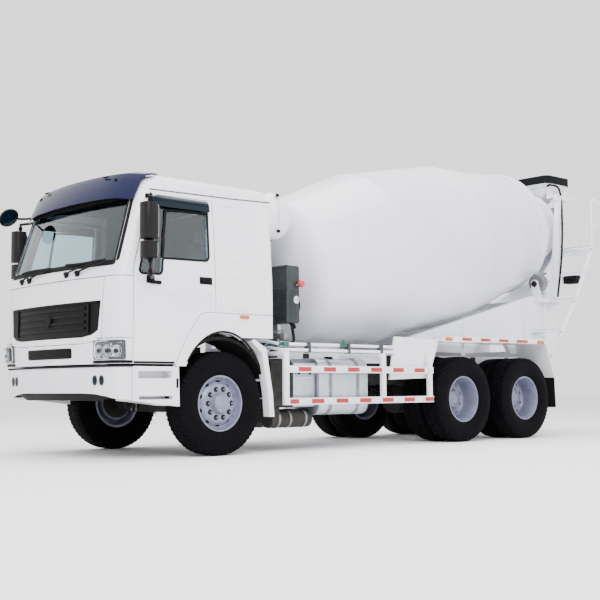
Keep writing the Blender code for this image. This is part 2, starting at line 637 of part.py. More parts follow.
def build_visor():
    """Curved sun visor over the windscreen, lifted clear of it."""
    outline = [(-1.262, 2.715), (-1.255, 2.760), (-1.175, 2.935), (-1.120, 2.995), (-1.030, 3.018),
               (-0.960, 3.020), (-0.960, 3.004), (-1.030, 3.000), (-1.105, 2.978), (-1.155, 2.925),
               (-1.238, 2.750), (-1.250, 2.715)]
    rings = []
    steps = 12
    for k in range(steps + 1):
        t = -1.0 + 2.0 * k / steps
        x = 1.085 * t
        back = 0.105 * t * t + 0.050 * t ** 8
        drop = 0.018 * t * t + 0.030 * t ** 8
        rings.append([(x, y + back, z - drop) for y, z in outline])
    add_node("sun_visor", loft(rings), "navy", TILT_PIVOT, "cab_shell")


def build_interior():
    profile = [(-1.235, 1.420), (-1.020, 1.420), (-0.900, 1.700), (-0.880, 1.850), (-0.930, 1.905),
               (-1.235, 1.930)]
    dash = prism(profile, "x", -1.080, 1.080)
    wheel_middle = Vector((0.560, -0.640, 1.985))
    column = along((0.560, -0.930, 1.700), wheel_middle)
    tilt = Matrix.Translation(wheel_middle) @ column.to_quaternion().to_matrix().to_4x4()
    grip = [(0.012 * math.sin(t), 0.225 + 0.014 * math.cos(t)) for t in [k * math.pi * 0.4 for k in range(5)]]
    ring = turned(grip, 16, tilt)
    spokes = [rod(wheel_middle, tilt @ Vector((0.225 * math.cos(a), 0.225 * math.sin(a), 0.0)), 0.012, 6)
              for a in (0.4, 2.74, 4.71)]
    post = rod((0.560, -0.960, 1.660), tuple(wheel_middle), 0.030, 10)
    add_node("dashboard", union(dash, post, ring, *spokes), "black_plastic", TILT_PIVOT, "cab_shell")
    for side, x in (("left", 0.620), ("right", -0.620)):
        base = box((x - 0.145, -0.400, CAB_FLOOR[1] + FIT_GAP), (x + 0.145, 0.020, 1.620))
        cushion = prism(rounded((-0.520, 1.600), (0.020, 1.760), 0.06, 3), "x", x - 0.250, x + 0.250)
        back = prism([(-0.070, 1.700), (0.060, 1.700), (0.190, 2.300), (0.160, 2.360), (0.090, 2.350)],
                     "x", x - 0.240, x + 0.240)
        head = prism([(0.095, 2.330), (0.185, 2.330), (0.215, 2.500), (0.135, 2.510)], "x", x - 0.130, x + 0.130)
        add_node(f"seat_{side}", union(base, cushion, back, head), "seat_cloth", TILT_PIVOT, "cab_shell")


# ---------------------------------------------------------------- fixed bodywork on the frame
def build_bumper():
    skin = cab_skin(0.560, 0.945, 0.015, 0.060)
    skin = common(skin, box((-1.300, -1.700, 0.500), (1.300, DOOR_FRONT - GAP, 1.000)))
    arc = [(-1.300, 0.500), (1.300, 0.500), (1.300, 0.600), (1.190, 0.612), (1.000, 0.650), (0.800, 0.676),
           (0.560, 0.682), (-0.560, 0.682), (-0.800, 0.676), (-1.000, 0.650), (-1.190, 0.612), (-1.300, 0.600)]
    skin = cut(skin, prism(arc, "y", -1.700, -1.000))
    horns = both_sides(box((0.356, -1.400, 0.780), (0.414, FRAME_FRONT - FIT_GAP, 0.900)))
    add_node("front_bumper", union(skin, *horns), "white_paint")


def build_front_wings():
    """Step box ahead of the wheel, arch liner over it and mudguard strip behind it."""
    steps = prism([(DOOR_FRONT + GAP, 0.952), (-0.600, 0.952), (-0.588, 0.540), (DOOR_FRONT + GAP, 0.604)],
                  "x", 0.880, 1.196)
    recesses = [box((1.060, -1.100, 0.830), (1.300, -0.690, 0.905)),
                box((1.060, -1.090, 0.615), (1.300, -0.680, 0.650))]
    steps = cut(steps, rod((KINGPIN_X, 0, 0.4), (KINGPIN_X, 0, 1.1), 0.660, 48), *recesses)
    band = prism(ellipse((0.0, AXLE_HEIGHT), (0.680, 0.714), 40), "x", 0.800, 1.130)
    inner = prism(ellipse((0.0, AXLE_HEIGHT), (0.655, 0.690), 40), "x", 0.700, 1.200)
    liner = cut(band, inner, box((0.6, -0.9, -0.3), (1.3, 0.9, 0.600)), box((0.6, 0.0, -0.3), (1.3, 0.9, 0.601)))
    strip = prism([(0.392, 1.232), (0.425, 1.262), (0.600, 1.160), (0.690, 0.660), (0.712, 0.405),
                   (0.640, 0.405), (0.618, 0.660), (0.535, 1.110)], "x", 1.095, 1.196)
    bracket = box((RAIL_OUTER + FIT_GAP, 0.600, 0.800), (1.120, 0.680, 0.860))
    wing = union(steps, liner, strip, bracket)
    add_node("front_wing_left", wing.copy(), "white_paint")
    add_node("front_wing_right", mirrored(wing), "white_paint")


def build_side_gear():
    tank_outline = rounded((0.470, 0.405), (1.090, 1.069), 0.130, 4)
    add_node("fuel_tank", prism(tank_outline, "y", 1.500, 2.320), "aluminium")
    add_node("battery_box", prism(rounded((0.520, 0.500), (1.050, 1.000), 0.030, 2), "y", 1.130, 1.470), "aluminium")
    cabinet = prism(rounded((0.500, 0.500), (1.050, 1.060), 0.050, 2), "y", 0.790, 1.100)
    bracket = box((0.560, 0.850, 0.340), (1.000, 0.960, 0.560))
    vessels = [rod((x, 0.860, 0.370), (x, 1.470, 0.370), 0.105, 14) for x in (0.640, 0.900)]
    add_node("air_tanks", union(cabinet, bracket, *vessels), "dark_steel")
    muffler = prism(rounded((-1.060, 0.440), (-0.520, 1.020), 0.120, 3), "y", 1.000, 1.850)
    outlet = pipe([(-0.790, 1.800, 0.600), (-0.790, 2.050, 0.600), (-0.790, 2.200, 0.480), (-0.900, 2.300, 0.440)],
                  0.060, 10)
    inlet = pipe([(-0.560, 1.050, 0.690), (-0.480, 0.930, 0.650), (-0.330, 0.900, 0.630)], 0.045, 10)
    add_node("silencer", union(muffler, outlet, inlet), "aluminium")

    rails = [box((1.168, 0.874, z), (1.200, 3.430, z + 0.080)) for z in (0.530, 0.897)]
    posts = []
    for y in (0.876, 2.480, 3.350):
        posts.append(box((1.150, y, 0.530), (1.190, y + 0.070, 1.140)))
        if y < 3.0:
            posts.append(box((RAIL_OUTER + FIT_GAP, y, 1.090), (1.190, y + 0.070, 1.140)))
    guard = union(*rails, *posts)
    add_node("side_guard_left", guard.copy(), "white_paint")
    add_node("side_guard_right", mirrored(guard), "white_paint")


def build_mudguards():
    """Flat-topped guards over the twin wheels with a side valance, front panel and rear flap."""
    top = box((0.720, 3.600, 1.325), (1.245, 5.900, 1.343))
    valance = prism([(3.610, 1.305), (5.890, 1.340), (5.890, 1.398), (3.610, 1.378)], "x", 1.215, 1.248)
    panel = prism([(2.790, 1.360), (3.640, 1.335), (3.430, 0.840), (2.690, 0.820), (2.760, 1.180)], "x", 1.095, 1.120)
    closer = prism([(3.560, 1.335), (3.620, 1.335), (3.410, 0.840), (3.385, 0.850)], "x", 0.720, 1.105)
    flap = prism([(5.860, 1.335), (5.892, 1.335), (6.052, 0.850), (6.032, 0.850)], "x", 0.690, 1.245)
    guard = union(top, valance, panel, closer, flap)
    add_node("mudguard_left", guard.copy(), "white_paint")
    add_node("mudguard_right", mirrored(guard), "white_paint")


# ---------------------------------------------------------------- drum and its drive
def drum_point(station, x=0.0, rise=0.0):
    """Axle-frame point at a station on the drum's axis, offset across it."""
    c, s = math.cos(DRUM_TILT), math.sin(DRUM_TILT)
    return Vector((x, DRUM_FOOT[1] + station * c - rise * s, DRUM_FOOT[2] + station * s + rise * c))


def drum_frame():
    return along(drum_point(0.0), drum_point(1.0))


DRUM_OUTER = (                     # station, radius, front flange to mouth
    (-0.330, 0.0), (-0.330, 0.170), (-0.300, 0.180), (-0.290, 0.330), (-0.230, 0.600), (-0.150, 0.800),
    (-0.040, 0.905), (0.020, 0.925), (1.250, 1.163), (2.900, 1.163), (4.300, 0.930),
    (RING_STATION[0], 0.905), (RING_STATION[0], RING_RADIUS), (RING_STATION[1], RING_RADIUS),
    (RING_STATION[1], 0.880), (5.300, 0.545), (5.380, 0.545), (5.380, 0.560), (5.420, 0.560))
DRUM_INNER = (
    (5.420, 0.525), (5.290, 0.520), (4.560, 0.850), (4.300, 0.900), (2.890, 1.135), (1.260, 1.135),
    (0.030, 0.895), (-0.030, 0.875), (-0.130, 0.770), (-0.200, 0.580), (-0.255, 0.300), (-0.265, 0.0))


def build_drum():
    shape = turned(DRUM_OUTER + DRUM_INNER, DRUM_SIDES, drum_frame(), closed=False)
    add_node("drum", shape, "drum_paint", tuple(drum_point(0.0)))

    reach = RING_RADIUS + ROLLER_RADIUS + 0.006
    middle = (RING_STATION[0] + RING_STATION[1]) / 2
    for side, outward in (("left", 1), ("right", -1)):
        x, rise = outward * reach * math.sin(ROLLER_ANGLE), -reach * math.cos(ROLLER_ANGLE)
        profile = [(-0.110, 0.0), (-0.110, 0.028), (-ROLLER_HALF, 0.028), (-ROLLER_HALF, ROLLER_RADIUS),
                   (ROLLER_HALF, ROLLER_RADIUS), (ROLLER_HALF, 0.028), (0.110, 0.028), (0.110, 0.0)]
        centre = drum_point(middle, x, rise)
        frame = along(centre, centre + (drum_point(1.0) - drum_point(0.0)))
        add_node(f"roller_{side}", turned(profile, 16, frame, closed=False), "dark_steel", tuple(centre))

    housing = [(-0.760, 0.0), (-0.760, 0.120), (-0.700, 0.125), (-0.690, 0.200), (-0.560, 0.215), (-0.550, 0.255),
               (-0.430, 0.262), (-0.420, 0.200), (-0.340, 0.190), (-0.336, 0.150), (-0.336, 0.0)]
    gearbox = turned(housing, 20, drum_frame(), closed=False)
    foot = prism([(1.185, 1.768), (1.590, 1.851), (1.560, 2.000), (1.200, 1.920)], "x", -0.190, 0.190)
    foot = cut(foot, box((-0.4, 1.0, 1.0), (0.4, 1.9, 1.740)))
    add_node("drum_gearbox", union(gearbox, foot), "dark_steel")


def build_behind_cab():
    dome = [(0.0, 0.0), (0.010, 0.120), (0.050, 0.230), (0.100, 0.275)]
    outline = [(depth - TANK_REACH, radius) for depth, radius in dome]
    outline += [(TANK_REACH - depth, radius) for depth, radius in reversed(dome)]
    tank = turned(outline, 20, along((0, 1.170, 2.780), (1, 1.170, 2.780)), closed=False)
    legs = []
    for x in (-0.420, 0.360):
        legs.append(box((x, 0.980, 1.1605), (x + 0.060, 1.040, 2.640)))
        legs.append(prism([(0.985, 2.420), (1.300, 2.460), (1.300, 2.560), (0.985, 2.640)], "x", x, x + 0.060))
    feet = [box((-0.430, 0.980, 1.1605 - 0.120), (0.430, 1.040, 1.220))]
    add_node("water_tank", union(tank, *legs, *feet), "white_paint")
    cooler = prism(rounded((0.560, 1.480), (0.990, 2.160), 0.030, 2), "y", 1.100, 1.290)
    stand = box((0.640, 1.120, 1.100), (0.720, 1.180, 1.520))
    shelf = box((0.4305, 1.120, 1.080), (0.720, 1.180, 1.130))
    add_node("oil_cooler", union(cooler, stand, shelf), "cooler")


# ---------------------------------------------------------------- rear frame, hopper and ladder
PLATE_X = (0.600, 0.680)
POST_X = (0.665, 0.735)
CROSS_BEAM = (6.330, 6.660, 1.930, 2.020)


def build_rear_frame():
    plate = prism([(3.500, 1.200), (6.940, 1.200), (7.020, 2.330), (6.820, 2.330), (6.640, 2.120),
                   (6.300, 2.080), (3.500, 1.375)], "x", *PLATE_X)
    notch = prism(ellipse((5.350, 1.200), (0.420, 0.230), 20), "x", 0.5, 0.8)
    plate = cut(plate, notch)
    post = prism([(6.840, 2.100), (6.980, 2.100), (7.110, 3.700), (7.040, 3.700)], "x", *POST_X)
    arm = box((POST_X[0], 7.000, 3.640), (POST_X[1], 7.460, 3.700))
    pieces = both_sides(plate) + both_sides(post) + both_sides(arm)
    reach = PLATE_X[1] - 0.01
    base = SUBFRAME_TOP + FIT_GAP
    for y in (3.520, 4.650, 5.960, 6.820):
        pieces.append(box((-reach, y, base), (reach, y + 0.090, base + 0.085)))
    y0, y1, z0, z1 = CROSS_BEAM
    pieces.append(box((-reach, y0, z0), (reach, y1, z1)))
    pieces.append(box((-reach, 6.860, 1.500), (reach, 6.930, 1.720)))
    pieces.append(box((-0.090, 6.900, 1.540), (0.090, 7.400, 1.700)))
    pieces.append(rod((CHUTE_PIVOT[0], CHUTE_PIVOT[1], 1.690), (CHUTE_PIVOT[0], CHUTE_PIVOT[1], 1.840), 0.028, 12))
    middle = (RING_STATION[0] + RING_STATION[1]) / 2
    reach_out = RING_RADIUS + ROLLER_RADIUS + 0.006
    x = reach_out * math.sin(ROLLER_ANGLE)
    rise = -reach_out * math.cos(ROLLER_ANGLE)
    holes = []
    for outward in (1, -1):
        for offset in (-0.092, 0.092):
            c = drum_point(middle + offset, outward * x, rise)
            tip = drum_point(middle + offset + 0.012, outward * x, rise)
            tail = drum_point(middle + offset - 0.012, outward * x, rise)
            pieces.append(rod(tail, tip, 0.062, 14))
            foot = [(outward * x - 0.060, c.z), (outward * x + 0.060, c.z), (outward * x + 0.080, 2.040),
                    (outward * x - 0.080, 2.040)]
            lean = math.tan(DRUM_TILT)
            cheek = prism(foot, "y", -0.012, 0.012)
            for v in cheek.verts:
                v.co.y += c.y - (v.co.z - c.z) * lean
            pieces.append(cheek)
        start = drum_point(middle - 0.2, outward * x, rise)
        end = drum_point(middle + 0.2, outward * x, rise)
        holes.append(rod(start, end, 0.031, 14))
        pieces.append(box((min(outward * (x - 0.085), outward * (x + 0.085)), 6.380, 2.000),
                          (max(outward * (x - 0.085), outward * (x + 0.085)), 6.660, 2.060)))
    add_node("rear_frame", cut(union(*pieces), *holes), "white_paint")


def build_hopper():
    def ring(low, high, z, radius=0.10):
        return [(x, y, z) for x, y in rounded(low, high, radius, 2)]
    outer = loft([ring((-0.250, 7.200), (0.250, 7.440), 3.640, 0.05), ring((-0.480, 7.140), (0.480, 7.570), 3.880),
                  ring((-0.550, 7.000), (0.550, 7.640), 3.925), ring((-0.550, 7.000), (0.550, 7.640), 4.050)])
    spout = prism([(7.270, 3.790), (7.410, 3.660), (7.060, 3.430), (6.960, 3.560)], "x", -0.190, 0.190)
    inner = loft([ring((-0.225, 7.222), (0.225, 7.415), 3.700, 0.05), ring((-0.455, 7.170), (0.455, 7.540), 3.900),
                  ring((-0.525, 7.025), (0.525, 7.615), 3.943), ring((-0.525, 7.025), (0.525, 7.615), 4.100)])
    throat = prism([(7.240, 3.745), (7.385, 3.720), (7.010, 3.415), (6.900, 3.540)], "x", -0.170, 0.170)
    feet = both_sides(box((0.440, 7.150, 3.703), (0.735, 7.260, 3.760)))
    ears = both_sides(box((0.430, 7.150, 3.703), (0.480, 7.260, 3.905)))
    shape = cut(union(outer, spout, *feet, *ears), inner, throat)
    add_node("hopper", shape, "hopper_rubber")


def build_collector():
    """Half funnel behind the drum's mouth, open to the front, down to a round outlet."""
    levels = ((3.620, 7.200, 0.612, 0.460), (3.200, 7.210, 0.610, 0.460), (2.950, 7.250, 0.540, 0.420),
              (2.720, 7.310, 0.390, 0.350), (2.540, 7.335, 0.215, 0.215))
    wall = 0.018
    steps = 12
    spread = math.radians(94.0)
    rings = []
    for z, y, across, back in levels:
        arc = []
        for k in range(steps + 1):
            angle = -spread + 2 * spread * k / steps
            arc.append((math.sin(angle), math.cos(angle)))
        outer = [(across * a, y + back * b, z) for a, b in arc]
        inner = [((across - wall) * a, y + (back - wall) * b, z) for a, b in reversed(arc)]
        rings.append(outer + inner)
    straps = both_sides(box((0.560, 7.220, 3.480), (POST_X[0] - FIT_GAP, 7.300, 3.540)))
    ties = both_sides(box((0.640, 7.220, 3.480), (0.690, 7.300, 3.639)))
    add_node("discharge_collector", union(loft(rings), *straps, *ties), "white_paint")


def build_ladder():
    treads = [(6.370, 1.530), (6.770, 2.000), (7.080, 2.420)]
    pieces = []
    for y, z in treads:
        inner = PLATE_X[1] + FIT_GAP if y < 7.0 else POST_X[1] + FIT_GAP
        pieces.append(box((inner, y - 0.090, z), (1.200, y + 0.090, z + 0.030)))
        gusset = [(inner, z + 0.010), (inner + 0.220, z + 0.010), (inner, z - 0.120)]
        pieces.append(prism(gusset, "y", y - 0.012, y + 0.012))
    platform = box((0.560, 7.180, 2.840), (1.220, 7.760, 2.870))
    edge = prism([(0.560, 2.850), (0.980, 2.850), (0.560, 2.700)], "y", 7.200, 7.225)
    pieces += [platform, edge, box((0.600, 7.020, 2.790), (POST_X[0] - FIT_GAP, 7.760, 2.850))]
    for x in (1.150, 1.185):
        pieces.append(rod((x, 6.320, 1.460), (x, 6.760, 2.020), 0.013, 8))
        pieces.append(rod((x, 6.750, 2.005), (x, 7.250, 2.859), 0.0135, 8))
    hoop = [rod((1.188, 7.222, 2.852), (1.188, 7.222, 3.560), 0.017, 8),
            rod((1.188, 7.218, 3.545), (1.188, 7.306, 3.622), 0.016, 8),
            rod((1.188, 7.290, 3.618), (1.188, 7.734, 3.455), 0.0165, 8),
            rod((1.188, 7.721, 2.853), (1.188, 7.721, 3.470), 0.0175, 8)]
    rail = rod((1.188, 7.716, 3.377), (0.640, 7.716, 3.377), 0.014, 8)
    stay = rod((0.650, 7.716, 2.855), (0.650, 7.716, 3.386), 0.015, 8)
    middle = rod((1.188, 7.222, 3.200), (1.188, 7.721, 3.200), 0.012, 8)
    pieces += [*hoop, rail, stay, middle]
    add_node("ladder", union(*pieces), "white_paint")


def build_tail():
    bar = box((-1.050, 6.120, 0.660), (1.050, 6.200, 0.740))
    drops = both_sides(box((RAIL_OUTER + FIT_GAP, 6.130, 0.680), (0.470, 6.190, 1.000)))
    lamps = both_sides(box((0.700, 6.190, 0.650), (1.040, 6.235, 0.750)))
    add_node("tail_bar", union(bar, *lamps, *drops), "dark_steel")


# ---------------------------------------------------------------- discharge chute
def chute_point(reach, height, across=0.0):
    """Axle-frame point at a reach and height in the chute's upright plane."""
    c, s = math.cos(CHUTE_REST), math.sin(CHUTE_REST)
    return Vector((CHUTE_PIVOT[0] + reach * c - across * s, CHUTE_PIVOT[1] + reach * s + across * c, height))


def chute_prism(outline, low, high):
    """Prism across the chute's upright plane."""
    bm = prism(outline, "x", low, high)
    for v in bm.verts:
        across, reach, height = v.co
        v.co = chute_point(reach, height, across)
    return tidy(bm)


def build_chute():
    sleeve = rod((0, CHUTE_PIVOT[1], 1.705), (0, CHUTE_PIVOT[1], 1.960), 0.065, 16)
    reach, height = CHUTE_HINGE
    fork = chute_prism([(-0.060, 1.900), (0.060, 1.900), (reach + 0.032, height - 0.020), (reach + 0.028, height + 0.012),
                        (reach + 0.014, height + 0.026), (reach - 0.014, height + 0.026), (reach - 0.028, height + 0.012),
                        (-0.060, 1.980)], -0.045, 0.045)
    foot = chute_prism([(0.045, 1.712), (JACK_FOOT[0] + 0.020, 1.718), (JACK_FOOT[0] + 0.034, 1.745),
                        (JACK_FOOT[0] + 0.024, 1.775), (0.062, 1.860), (0.045, 1.860)], -0.014, 0.014)
    clear = rod((0, CHUTE_PIVOT[1], 1.5), (0, CHUTE_PIVOT[1], 1.849), 0.033, 16)
    hole = rod(chute_point(reach, height, -0.1), chute_point(reach, height, 0.1), 0.019, 12)
    pin = rod(chute_point(JACK_FOOT[0], JACK_FOOT[1], -0.036), chute_point(JACK_FOOT[0], JACK_FOOT[1], 0.036), 0.012, 10)
    swivel = union(cut(union(sleeve, fork, foot), clear, hole), pin)
    pivot = (CHUTE_PIVOT[0], CHUTE_PIVOT[1], CHUTE_PIVOT[2])
    add_node("chute_swivel", swivel, "dark_steel", pivot)

    slope = math.tan(CHUTE_SLOPE)
    floor_at = height + 0.042
    radius, wall, steps = 0.205, 0.014, 12
    rings = []
    for distance in (-0.220, 1.150):
        drop = floor_at - (distance - reach) * slope
        outer, inner = [], []
        for k in range(steps + 1):
            angle = math.pi * (k / steps)
            outer.append(chute_point(distance, drop + radius - radius * math.sin(angle), radius * math.cos(angle)))
            narrow = radius - wall
            inner.append(chute_point(distance, drop + radius - narrow * math.sin(angle), narrow * math.cos(angle)))
        rings.append([tuple(p) for p in outer + inner[::-1]])
    trough = loft(rings)
    ears = [chute_prism([(reach - 0.035, height - 0.030), (reach + 0.035, height - 0.030),
                         (reach + 0.070, height + 0.085), (reach - 0.070, height + 0.125)], a, a + 0.016)
            for a in (-0.068, 0.052)]
    bolt = rod(chute_point(reach, height, -0.064), chute_point(reach, height, 0.064), 0.014, 10)
    eye_reach, eye_height = JACK_EYE
    lug = [chute_prism([(eye_reach - 0.028, eye_height - 0.024), (eye_reach + 0.028, eye_height - 0.024),
                        (eye_reach + 0.060, 1.960), (eye_reach - 0.060, 1.975)], a, a + 0.012)
           for a in (-0.034, 0.022)]
    chute = union(trough, *ears, bolt, *lug)
    add_node("chute", chute, "white_paint", tuple(chute_point(reach, height)), "chute_swivel")

    foot_at = chute_point(*JACK_FOOT)
    eye_at = chute_point(*JACK_EYE)
    reach_vector = (eye_at - foot_at).normalized()
    barrel = rod(foot_at + reach_vector * 0.036, foot_at + reach_vector * 0.440, 0.034, 14)
    bore = rod(foot_at + reach_vector * 0.060, foot_at + reach_vector * 0.500, 0.024, 14)
    ears = [chute_prism([(JACK_FOOT[0] - 0.024, JACK_FOOT[1] - 0.024), (JACK_FOOT[0] + 0.050, JACK_FOOT[1] - 0.002),
                         (JACK_FOOT[0] + 0.034, JACK_FOOT[1] + 0.036), (JACK_FOOT[0] - 0.028, JACK_FOOT[1] + 0.016)],
                        a, a + 0.010) for a in (-0.031, 0.021)]
    hole = rod(chute_point(*JACK_FOOT, -0.1), chute_point(*JACK_FOOT, 0.1), 0.0155, 12)
    tube = cut(union(barrel, *ears), hole, bore)
    add_node("jack_tube", tube, "dark_steel", tuple(foot_at), "chute_swivel")
    piston = rod(foot_at + reach_vector * 0.220, eye_at - reach_vector * 0.030, 0.0165, 12)
    eye = rod(chute_point(*JACK_EYE, -0.018), chute_point(*JACK_EYE, 0.018), 0.024, 12)
    neck = rod(eye_at - reach_vector * 0.040, eye_at, 0.014, 10)
    add_node("jack_rod", union(piston, neck, eye), "chrome_rod", tuple(eye_at), "jack_tube")


def main():
    clear_scene()
    build_wheels()
    build_chassis()
    build_axles()
    build_cab()
    build_bumper()
    build_front_wings()
    build_side_gear()
    build_mudguards()
    build_drum()
    build_behind_cab()
    build_rear_frame()
    build_hopper()
    build_collector()
    build_ladder()
    build_tail()
    build_chute()


main()
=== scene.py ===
import math

import bmesh
import bpy
import numpy as np
from mathutils import Matrix, Vector


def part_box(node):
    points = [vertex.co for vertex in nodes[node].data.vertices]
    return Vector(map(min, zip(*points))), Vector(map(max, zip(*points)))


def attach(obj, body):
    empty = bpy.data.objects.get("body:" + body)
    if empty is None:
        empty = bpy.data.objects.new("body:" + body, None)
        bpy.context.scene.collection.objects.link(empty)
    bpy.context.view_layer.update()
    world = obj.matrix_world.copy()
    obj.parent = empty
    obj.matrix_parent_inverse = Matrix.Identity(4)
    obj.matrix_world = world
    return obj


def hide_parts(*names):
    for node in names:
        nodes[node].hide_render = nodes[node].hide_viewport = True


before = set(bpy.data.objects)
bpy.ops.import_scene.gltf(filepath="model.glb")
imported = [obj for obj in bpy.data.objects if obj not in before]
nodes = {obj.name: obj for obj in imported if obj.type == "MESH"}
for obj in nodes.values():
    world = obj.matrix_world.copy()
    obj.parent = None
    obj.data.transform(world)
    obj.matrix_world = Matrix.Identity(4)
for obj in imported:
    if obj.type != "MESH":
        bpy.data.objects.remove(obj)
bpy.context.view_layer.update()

print("frame loaded")

wheelLow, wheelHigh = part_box("rim_front_left")
axleY = (wheelLow[1] + wheelHigh[1]) / 2            # the front axle's place along the truck
axleZ = (wheelLow[2] + wheelHigh[2]) / 2
frontWheelX = (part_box("tyre_front_left")[0][0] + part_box("tyre_front_left")[1][0]) / 2
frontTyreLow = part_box("tyre_front_left")[0]


# ---- surfaces: every shape below is a grid of points, worked out as whole arrays
def gridPart(points, wrapRows=False, wrapCols=False, capStart=False, capEnd=False):
    # quads between neighbouring grid points; a cap is one face on the first or last row
    rows, cols = points.shape[:2]
    i, j = np.meshgrid(np.arange(rows - (not wrapRows)), np.arange(cols - (not wrapCols)), indexing="ij")
    nextRow, nextCol = (i + 1) % rows, (j + 1) % cols
    quads = np.stack([i * cols + j, i * cols + nextCol, nextRow * cols + nextCol, nextRow * cols + j], -1)
    faces = quads.reshape(-1, 4).tolist()
    if capStart:
        faces.append(list(range(cols))[::-1])
    if capEnd:
        faces.append([(rows - 1) * cols + k for k in range(cols)])
    return points.reshape(-1, 3), faces


def shellPart(front, back):
    # two grids of one size, a front and a back, closed all round their edges
    rows, cols = front.shape[:2]
    loop = np.concatenate([front, back[:, ::-1]], axis=1)
    points, faces = gridPart(loop, wrapCols=True)
    width = 2 * cols
    for row in (0, rows - 1):
        start = row * width
        for k in range(cols - 1):
            a, b = start + k, start + k + 1
            c, d = start + width - 2 - k, start + width - 1 - k
            faces.append([a, b, c, d])
    return points, faces


def unit(vector):
    vector = np.asarray(vector, float)
    return vector / np.linalg.norm(vector)


def acrossAxes(direction):
    # two unit vectors square to a direction
    helper = np.array([0.0, 0.0, 1.0]) if abs(direction[2]) < 0.9 else np.array([1.0, 0.0, 0.0])
    first = unit(np.cross(helper, direction))
    return first, np.cross(direction, first)


def latheGrid(profile, origin, direction, segments):
    # radius turned about an axis: origin + station * axis + radius * (cos, sin)
    profile = np.asarray(profile, float)
    axis = unit(direction)
    first, second = acrossAxes(axis)
    turn = np.linspace(0, 2 * np.pi, segments, endpoint=False)
    ring = np.cos(turn)[:, None] * first + np.sin(turn)[:, None] * second
    return (np.asarray(origin, float) + profile[:, None, :1] * axis + profile[:, None, 1:] * ring[None])


def lathePart(profile, origin, direction, segments=32, closed=False):
    return gridPart(latheGrid(profile, origin, direction, segments), wrapRows=closed, wrapCols=True)


def smoothPath(points, count):
    # Catmull-Rom curve through the points, cut into count points
    points = np.asarray(points, float)
    padded = np.vstack([2 * points[0] - points[1], points, 2 * points[-1] - points[-2]])
    where = np.linspace(0, len(points) - 1 - 1e-9, count)
    k = where.astype(int)
    t = (where - k)[:, None]
    a, b, c, d = padded[k], padded[k + 1], padded[k + 2], padded[k + 3]
    return 0.5 * (2 * b + (c - a) * t + (2 * a - 5 * b + 4 * c - d) * t ** 2 + (3 * b - a - 3 * c + d) * t ** 3)


def tubePart(path, radius, sides=10, squash=1.0):
    # a circle carried along a path, its frame turned as little as possible
    path = np.asarray(path, float)
    along = np.gradient(path, axis=0)
    along /= np.linalg.norm(along, axis=1)[:, None]
    first = acrossAxes(along[0])[0]
    turn = np.linspace(0, 2 * np.pi, sides, endpoint=False)
    radii = np.broadcast_to(np.asarray(radius, float), (len(path),))
    rings = []
    for k in range(len(path)):
        first = unit(first - along[k] * np.dot(first, along[k]))
        second = np.cross(along[k], first)
        ring = np.cos(turn)[:, None] * first + np.sin(turn)[:, None] * second * squash
        rings.append(path[k] + radii[k] * ring)
    return gridPart(np.array(rings), wrapCols=True, capStart=True, capEnd=True)


def hosePart(points, radius, count=28, sides=10):
    return tubePart(smoothPath(points, count), radius, sides)


def roundedOutline(low, high, radius, steps=4):
    # rectangle with quarter circles at its corners
    corner = np.linspace(0, np.pi / 2, steps + 1)
    middles = ((high[0] - radius, high[1] - radius), (low[0] + radius, high[1] - radius),
               (low[0] + radius, low[1] + radius), (high[0] - radius, low[1] + radius))
    stretches = [np.stack([m[0] + radius * np.cos(corner + q * np.pi / 2),
                           m[1] + radius * np.sin(corner + q * np.pi / 2)], -1) for q, m in enumerate(middles)]
    return np.concatenate(stretches)


def insetOutline(outline, gap):
    # every edge moved inwards by gap, corners where the moved edges meet
    outline = np.asarray(outline, float)
    before, after = np.roll(outline, 1, 0), np.roll(outline, -1, 0)
    area = np.sum(outline[:, 0] * after[:, 1] - after[:, 0] * outline[:, 1])
    sign = 1.0 if area > 0 else -1.0
    first = outline - before
    second = after - outline
    first /= np.maximum(np.linalg.norm(first, axis=1), 1e-9)[:, None]
    second /= np.maximum(np.linalg.norm(second, axis=1), 1e-9)[:, None]
    firstIn = sign * np.stack([-first[:, 1], first[:, 0]], -1)
    secondIn = sign * np.stack([-second[:, 1], second[:, 0]], -1)
    scale = gap / np.maximum(1 + np.sum(firstIn * secondIn, 1), 0.3)
    return outline + (firstIn + secondIn) * scale[:, None]


def platePart(outline, across, low, high, bevel=0.003):
    # a flat outline carried from low to high along one axis, its rims rounded by bevel
    order = {"x": (2, 0, 1), "y": (0, 2, 1), "z": (0, 1, 2)}[across]
    outline = np.asarray(outline, float)
    bevel = min(bevel, (high - low) * 0.45)
    rings = []
    for level, gap in ((low, bevel), (low + bevel * 0.3, bevel * 0.3), (low + bevel, 0.0),
                       (high - bevel, 0.0), (high - bevel * 0.3, bevel * 0.3), (high, bevel)):
        ring = insetOutline(outline, gap) if gap else outline
        rings.append(np.column_stack([ring, np.full(len(ring), level)])[:, order])
    return gridPart(np.array(rings), wrapCols=True, capStart=True, capEnd=True)


def blockPart(low, high, bevel=0.004):
    # block whose edges are all rounded by bevel
    size = np.subtract(high, low)
    bevel = min(bevel, size.min() * 0.4)
    outline = roundedOutline((low[0], low[1]), (high[0], high[1]), bevel, 2)
    return platePart(outline, "z", low[2], high[2], bevel)


def turnPart(part, middle, axis, degrees):
    # part turned about an axis through middle
    points, faces = part
    turn = np.array(Matrix.Rotation(math.radians(degrees), 3, Vector(axis)))
    return (points - middle) @ turn.T + middle, faces


def flipPart(part):
    # the same part on the other side of the truck
    points, faces = part
    return points * (-1.0, 1.0, 1.0), [face[::-1] for face in faces]


def bothSides(part):
    return [part, flipPart(part)]


